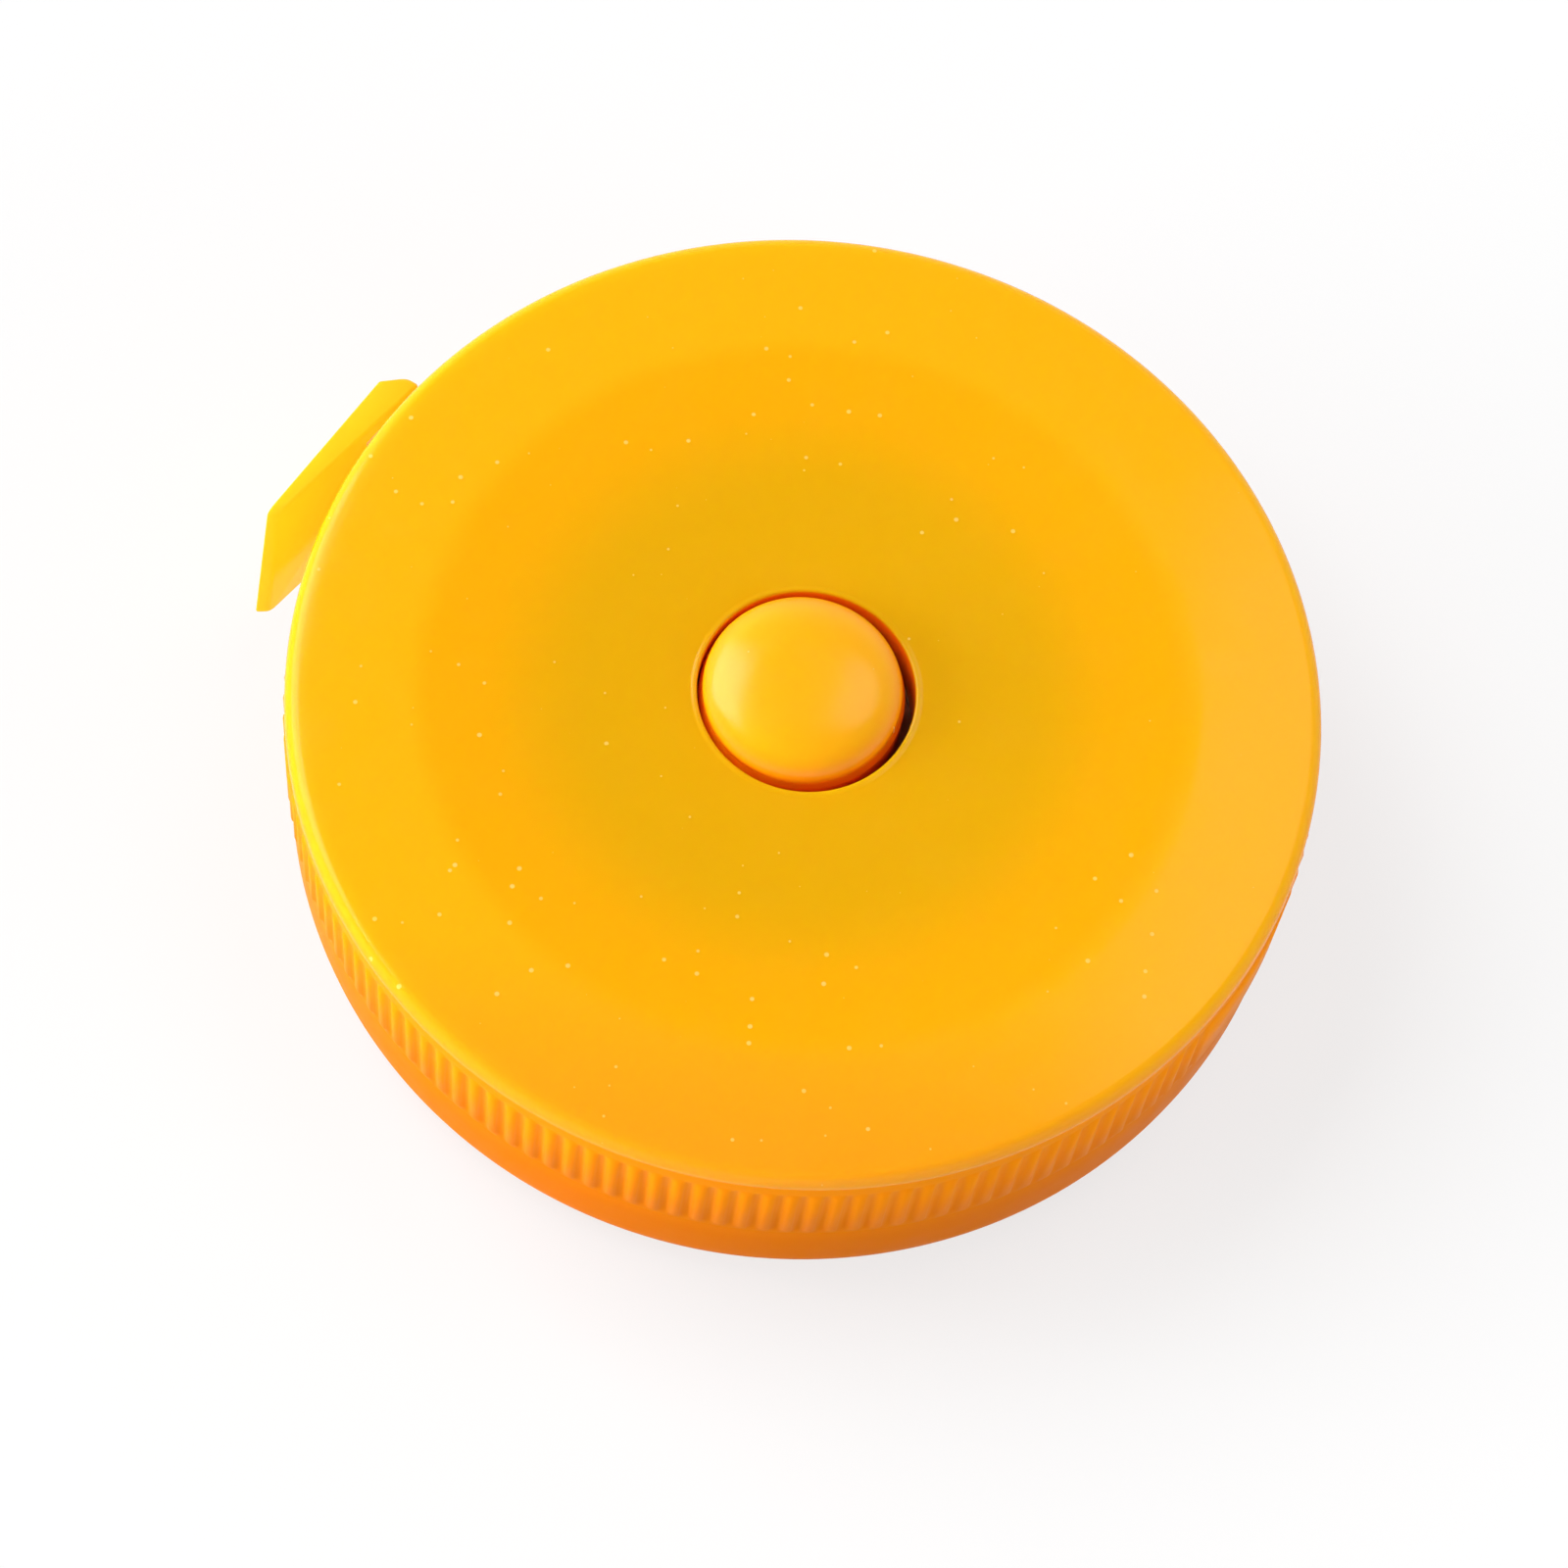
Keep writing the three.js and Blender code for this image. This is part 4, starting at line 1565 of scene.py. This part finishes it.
@dataclass
class TapePath:
    """The free stretch of tape: off the roll, out of the slot and on to the tab's inner face."""

    printed: bpy.types.Material
    line_distance: float = 20.17
    direction: float = 206.0
    bottom: float = 3.25
    top: float = 10.25
    thickness: float = 0.3
    rim_radius: float = 25.0
    slot_reach: float = 4.9
    slot_width: float = 1.6
    slot_clearance: float = 0.35
    straight: float = 15.0
    stretch_margin: float = 1.0
    lean: float = 1.5
    bend_radius: float = 0.5
    tab_direction: float = 240.2
    laid_length: float = 0.9
    bend_steps: int = 10
    straight_steps: int = 24
    roll_inner: float = 14.0
    roll_outer: float = 19.67
    roll_margin: float = 0.2
    roll_pitch: float = 0.4
    roll_gap: float = 0.06
    steps_per_turn: int = 64

    def slot_cutter(self) -> bpy.types.Object:
        """The channel that the tape needs through both covers.

        Returns:
            The block to cut with.
        """
        crossing = math.sqrt(self.rim_radius**2 - self.line_distance**2)
        half_width = self.slot_width / 2
        low = (
            crossing - self.slot_reach,
            -self.line_distance - half_width,
            self.bottom - self.slot_clearance,
        )
        high = (
            crossing + self.slot_reach,
            -self.line_distance + half_width,
            self.top + self.slot_clearance,
        )
        return block("tape_slot", low, high, math.radians(self.direction))

    def on_line(self, along: float) -> Vector:
        """A point on the straight stretch, measured from where the tape leaves the roll.

        Args:
            along: Distance from there.

        Returns:
            The point in plan.
        """
        heading = math.radians(self.direction)
        foot = Vector((math.sin(heading), -math.cos(heading))) * self.line_distance
        return foot + Vector((math.cos(heading), math.sin(heading))) * along

    def path(self) -> list[Point]:
        """Middle line of the free tape in plan.

        Returns:
            Its points as (x, y).
        """
        heading = math.radians(self.direction - self.lean)
        ahead = Vector((math.cos(heading), math.sin(heading)))
        start = self.on_line(0)
        step_length = self.straight / self.straight_steps
        points = [start + ahead * (step_length * i) for i in range(self.straight_steps + 1)]
        end = math.radians(self.tab_direction)
        turn = end - heading
        step_length = self.bend_radius * turn / self.bend_steps
        for step in range(self.bend_steps):
            here = heading + turn * (step + 0.5) / self.bend_steps
            points.append(points[-1] + Vector((math.cos(here), math.sin(here))) * step_length)
        points.append(points[-1] + Vector((math.cos(end), math.sin(end))) * self.laid_length)
        return [(p.x, p.y) for p in points]

    def build(self) -> bpy.types.Object:
        """Builds the free tape, which stretches between the case and the tab.

        Returns:
            The finished tape.
        """
        piece = strip_along("tape_ribbon", self.path(), self.bottom, self.top, self.thickness)
        hand_over(piece, self.printed, Slot.TAPE, None, "tape_lead")
        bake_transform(piece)
        return piece

    def build_roll(self) -> bpy.types.Object:
        """Builds the wound tape as one spiral of its real length.

        Returns:
            The finished roll.
        """
        turns = (self.roll_outer - self.roll_inner) / self.roll_pitch
        inner, outer = self.roll_inner + self.roll_margin, self.roll_outer - self.roll_margin
        path = spiral(inner, outer, turns, round(turns * self.steps_per_turn))
        strip = self.roll_pitch - self.roll_gap
        piece = strip_along("tape_winding", path, self.bottom, self.top, strip)
        hand_over(piece, self.printed, Slot.TAPE, Body.REEL, "tape_roll")
        return piece


@dataclass
class Springs:
    """The flat mainspring in the reel's drum, and the button's wire return spring."""

    steel: bpy.types.Material
    bottom: float = 3.2
    top: float = 6.8
    thickness: float = 0.25
    turns: float = 8.25
    inner: float = 4.0
    outer: float = 12.4
    tail_radii: tuple[float, ...] = (2.9, 3.2, 3.5, 3.78)
    seat_radius: float = 13.5
    steps_per_turn: int = 48
    wire_radius: float = 0.2
    wire_sides: int = 12
    coil_radius: float = 1.9
    coil_turns: int = 5
    coil_steps_per_turn: int = 32
    coil_bottom: float = 7.25
    coil_top: float = 12.7
    press: float = 1.2

    def build_mainspring(self) -> list[bpy.types.Object]:
        """Builds the coil, which turns with the reel, and its inner tail in the arbor's slot.

        Returns:
            The coil and the tail.
        """
        steps = round(self.turns * self.steps_per_turn)
        path = spiral(self.inner, self.outer, self.turns, steps)
        end = Vector(path[-1]).normalized() * self.seat_radius
        path.append((end.x, end.y))
        coil = strip_along("mainspring_coil", path, self.bottom, self.top, self.thickness)
        hand_over(coil, self.steel, Slot.SPRING_STEEL, Body.REEL, "power_spring")
        path = [(radius, 0.0) for radius in self.tail_radii]
        tail = strip_along("mainspring_tail", path, self.bottom, self.top, self.thickness)
        hand_over(tail, self.steel, Slot.SPRING_STEEL, Body.CASE)
        return [coil, tail]

    def build_return_spring(self) -> bpy.types.Object:
        """Builds the wire coil: a circle of wire screwed up round the guide pin.

        Returns:
            The finished spring.
        """
        deselect()
        bpy.ops.mesh.primitive_circle_add(
            vertices=self.wire_sides,
            radius=self.wire_radius * MM,
            location=(self.coil_radius * MM, 0, (self.coil_bottom + self.wire_radius) * MM),
            rotation=(math.pi / 2, 0, 0),
            fill_type="NGON",
        )
        piece = named(bpy.context.object, "return_spring_coil")
        settle()
        length = self.coil_top - self.coil_bottom
        apply_modifier(
            piece,
            "SCREW",
            angle=2 * math.pi * self.coil_turns,
            screw_offset=(length - 2 * self.wire_radius) * MM,
            steps=self.coil_steps_per_turn * self.coil_turns,
            render_steps=self.coil_steps_per_turn * self.coil_turns,
            axis="Z",
        )
        close_up(piece)
        shade(piece, Shading.WIRE)
        hand_over(piece, self.steel, Slot.SPRING_STEEL, Body.CASE, "button_return_spring")
        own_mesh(piece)
        return piece


@dataclass
class InnerParts:
    """The rigid pieces inside the case, which keep their CAD shapes."""

    white: bpy.types.Material
    grey: bpy.types.Material
    tan: bpy.types.Material
    film: bpy.types.Material
    rubber: bpy.types.Material

    def dress(self) -> None:
        """Gives each CAD node its material."""
        finishes = {
            "spring_arbor": self.white,
            "reel_slip_washer": self.film,
            "tape_reel": self.white,
            "reel_cover": self.white,
            "power_spring_cover": self.film,
            "tape_anchor_wedge": self.grey,
            "brake_disc": self.tan,
            "brake_friction_ring": self.rubber,
        }
        for name, material in finishes.items():
            for material_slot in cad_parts[name].material_slots:
                material_slot.material = material
            log.info("%s: CAD shape, %s", name, material.name)


@dataclass(frozen=True)
class Softbox:
    """A lamp that faces the object.

    Args:
        name: Name of the lamp.
        place: Its middle, before the studio sets it further off.
        width: Its width at that place.
        depth: Its other side.
        level: Its radiance, where 1 looks white.
        shape: Its outline. A disk has the width as its diameter.
        in_reflections: Whether glossy surfaces show it.
    """

    name: str
    place: Place
    width: float
    depth: float
    level: float
    shape: LampShape = LampShape.RECTANGLE
    in_reflections: bool = True


@dataclass
class Studio:
    """White floor, soft light and the camera of the photograph.

    The lamps stand far off and are as much larger, so that the light is as even where the tab
    hangs at the end of the tape as it is on the case.
    """

    board: bpy.types.Material
    softboxes: tuple[Softbox, ...] = (
        Softbox("left_softbox", (-293, 136, 333), 330, 330, 5.4),
        Softbox("overhead_softbox", (160, 180, 425), 226, 226, 2.0, LampShape.DISK),
        Softbox("left_fill", (-430, -110, 62), 330, 140, 19.0, in_reflections=False),
        Softbox("right_fill", (400, -150, 110), 240, 160, 4.0, in_reflections=False),
        Softbox("front_fill", (60, -420, 150), 420, 260, 0.1),
    )
    lamp_reach: float = 30.0
    floor_size: float = 90000.0
    floor_drop: float = 0.02
    horizon: float = 1.0
    ceiling: float = 0.12
    rise: Band = Band(0.3, 0.85)
    elevation: float = 66.49
    roll: float = 8.85
    lens: float = 114.17
    film_width: float = 36.0
    distance: float = 237.4
    aim: Place = (-0.382, -4.379, 11.915)
    nearest: float = 10.0
    farthest: float = 50000.0

    def build(self) -> None:
        """Builds the floor, the world, the lamps and the camera."""
        self.lay_floor()
        self.light_world()
        for softbox in self.softboxes:
            self.place_lamp(softbox)
        self.set_camera()

    def lay_floor(self) -> None:
        """Lays a large plain floor just under the case, which keeps the object's shadow."""
        deselect()
        bpy.ops.mesh.primitive_plane_add(
            size=self.floor_size * MM,
            location=(0, 0, -self.floor_drop * MM),
        )
        floor = named(bpy.context.object, "floor")
        settle()
        floor.data.materials.append(self.board)

    def light_world(self) -> None:
        """A pale surround that is white at the horizon and dim overhead, where the ceiling is."""
        world = bpy.data.worlds.new("studio")
        bpy.context.scene.world = world
        world.use_nodes = True
        tree = world.node_tree
        tree.nodes.clear()
        direction = add_node(tree, "TexCoord").outputs["Generated"]
        surround = add_node(
            tree,
            "MapRange",
            {
                "Value": add_node(tree, "SeparateXYZ", {0: direction}).outputs["Z"],
                "From Min": self.rise.start,
                "From Max": self.rise.end,
                "To Min": self.horizon,
                "To Max": self.ceiling,
            },
            interpolation_type="SMOOTHSTEP",
        )
        light = add_node(tree, "Background", {"Color": (1, 1, 1, 1), "Strength": surround})
        add_node(tree, "OutputWorld", {"Surface": light})

    def place_lamp(self, softbox: Softbox) -> None:
        """Places a softbox that faces the object and that the camera doesn't see.

        Args:
            softbox: What it is like.
        """
        lamp = bpy.data.lights.new(softbox.name, "AREA")
        lamp.shape = softbox.shape.value
        lamp.size = softbox.width * self.lamp_reach * MM
        lamp.size_y = softbox.depth * self.lamp_reach * MM
        roundness = math.pi / 4 if softbox.shape is LampShape.DISK else 1
        lamp.energy = softbox.level * math.pi * lamp.size * lamp.size_y * roundness
        piece = bpy.data.objects.new(softbox.name, lamp)
        bpy.context.scene.collection.objects.link(piece)
        piece.location = Vector(softbox.place) * self.lamp_reach * MM
        piece.rotation_euler = (-Vector(softbox.place)).to_track_quat("-Z", "Y").to_euler()
        piece.visible_camera = False
        piece.visible_glossy = softbox.in_reflections

    def set_camera(self) -> None:
        """Sets the camera at the photograph's angle, rolled as it was held."""
        elevation = math.radians(self.elevation)
        forward = Vector((0, math.cos(elevation), -math.sin(elevation)))
        upright = Vector((0, math.sin(elevation), math.cos(elevation)))
        roll = math.radians(self.roll)
        right = Vector((1, 0, 0)) * math.cos(roll) + upright * math.sin(roll)
        up = upright * math.cos(roll) - Vector((1, 0, 0)) * math.sin(roll)
        camera = bpy.data.cameras.new("camera")
        camera.lens = self.lens
        camera.sensor_width = self.film_width
        camera.clip_start = self.nearest * MM
        camera.clip_end = self.farthest * MM
        piece = bpy.data.objects.new("camera", camera)
        bpy.context.scene.collection.objects.link(piece)
        turn = Matrix((right, up, -forward)).transposed()
        place = (Vector(self.aim) - forward * self.distance) * MM
        piece.matrix_world = Matrix.Translation(place) @ turn.to_4x4()
        bpy.context.scene.camera = piece
        bpy.context.scene.view_settings.view_transform = "Standard"


def main() -> None:
    """Builds and dresses the tape measure, then the studio round it."""
    face_plastic = FacePlastic("case_face_abs").material()
    rim_plastic = CasePlastic(
        "case_rim_abs",
        gloss=0.003,
        roughness=0.34,
        scatter=0.4,
        depth_of_light=0.5,
    ).material()
    # The button's rim and foot tints are painted shade: the dome is deeper orange towards its edge
    # and the skirt darker down in the hole.
    button_plastic = CasePlastic(
        "button_abs",
        rim="#F89004",
        foot="#EC6A06",
        rim_shade_band=Band(14.35, 13.6),
        foot_shade_band=Band(13.6, 11.0),
        gloss=0.27,
        roughness=0.2,
    ).material()
    tab_plastic = CasePlastic(
        "tab_abs",
        face="#FFD228",
        rim="#FFD228",
        foot="#FFD228",
        gloss=0.06,
        scatter=0.0,
        glow=0.48,
    ).material()
    tape = TapePath(PrintedTape().material())
    CaseFront(face_plastic, rim_plastic).build(tape)
    CaseBack(rim_plastic).build(tape)
    Button(button_plastic).build()
    PullTab(tab_plastic).build()
    tape.build()
    tape.build_roll()
    springs = Springs(SpringSteel().material())
    springs.build_mainspring()
    springs.build_return_spring()
    InnerParts(
        white=MouldedPlastic("white_polystyrene", "#EEECE4", "#E2DFD4", 0.45).material(),
        grey=MouldedPlastic("grey_acetal", "#B9BCC0", "#A9ADB2", 0.5).material(),
        # Tan is painted shade: the brake disc shows only in the shaded gap round the button, and
        # its tan makes that gap read as warm shade.
        tan=MouldedPlastic("tan_acetal_for_gap_shade", "#E29A62", "#D08A54", 0.5).material(),
        film=PolyesterFilm().material(),
        rubber=NitrileRubber().material(),
    ).dress()
    Studio(MatteBoard().material()).build()


if __name__ == "__main__":
    logging.basicConfig(level=logging.INFO, format="%(message)s")
    main()
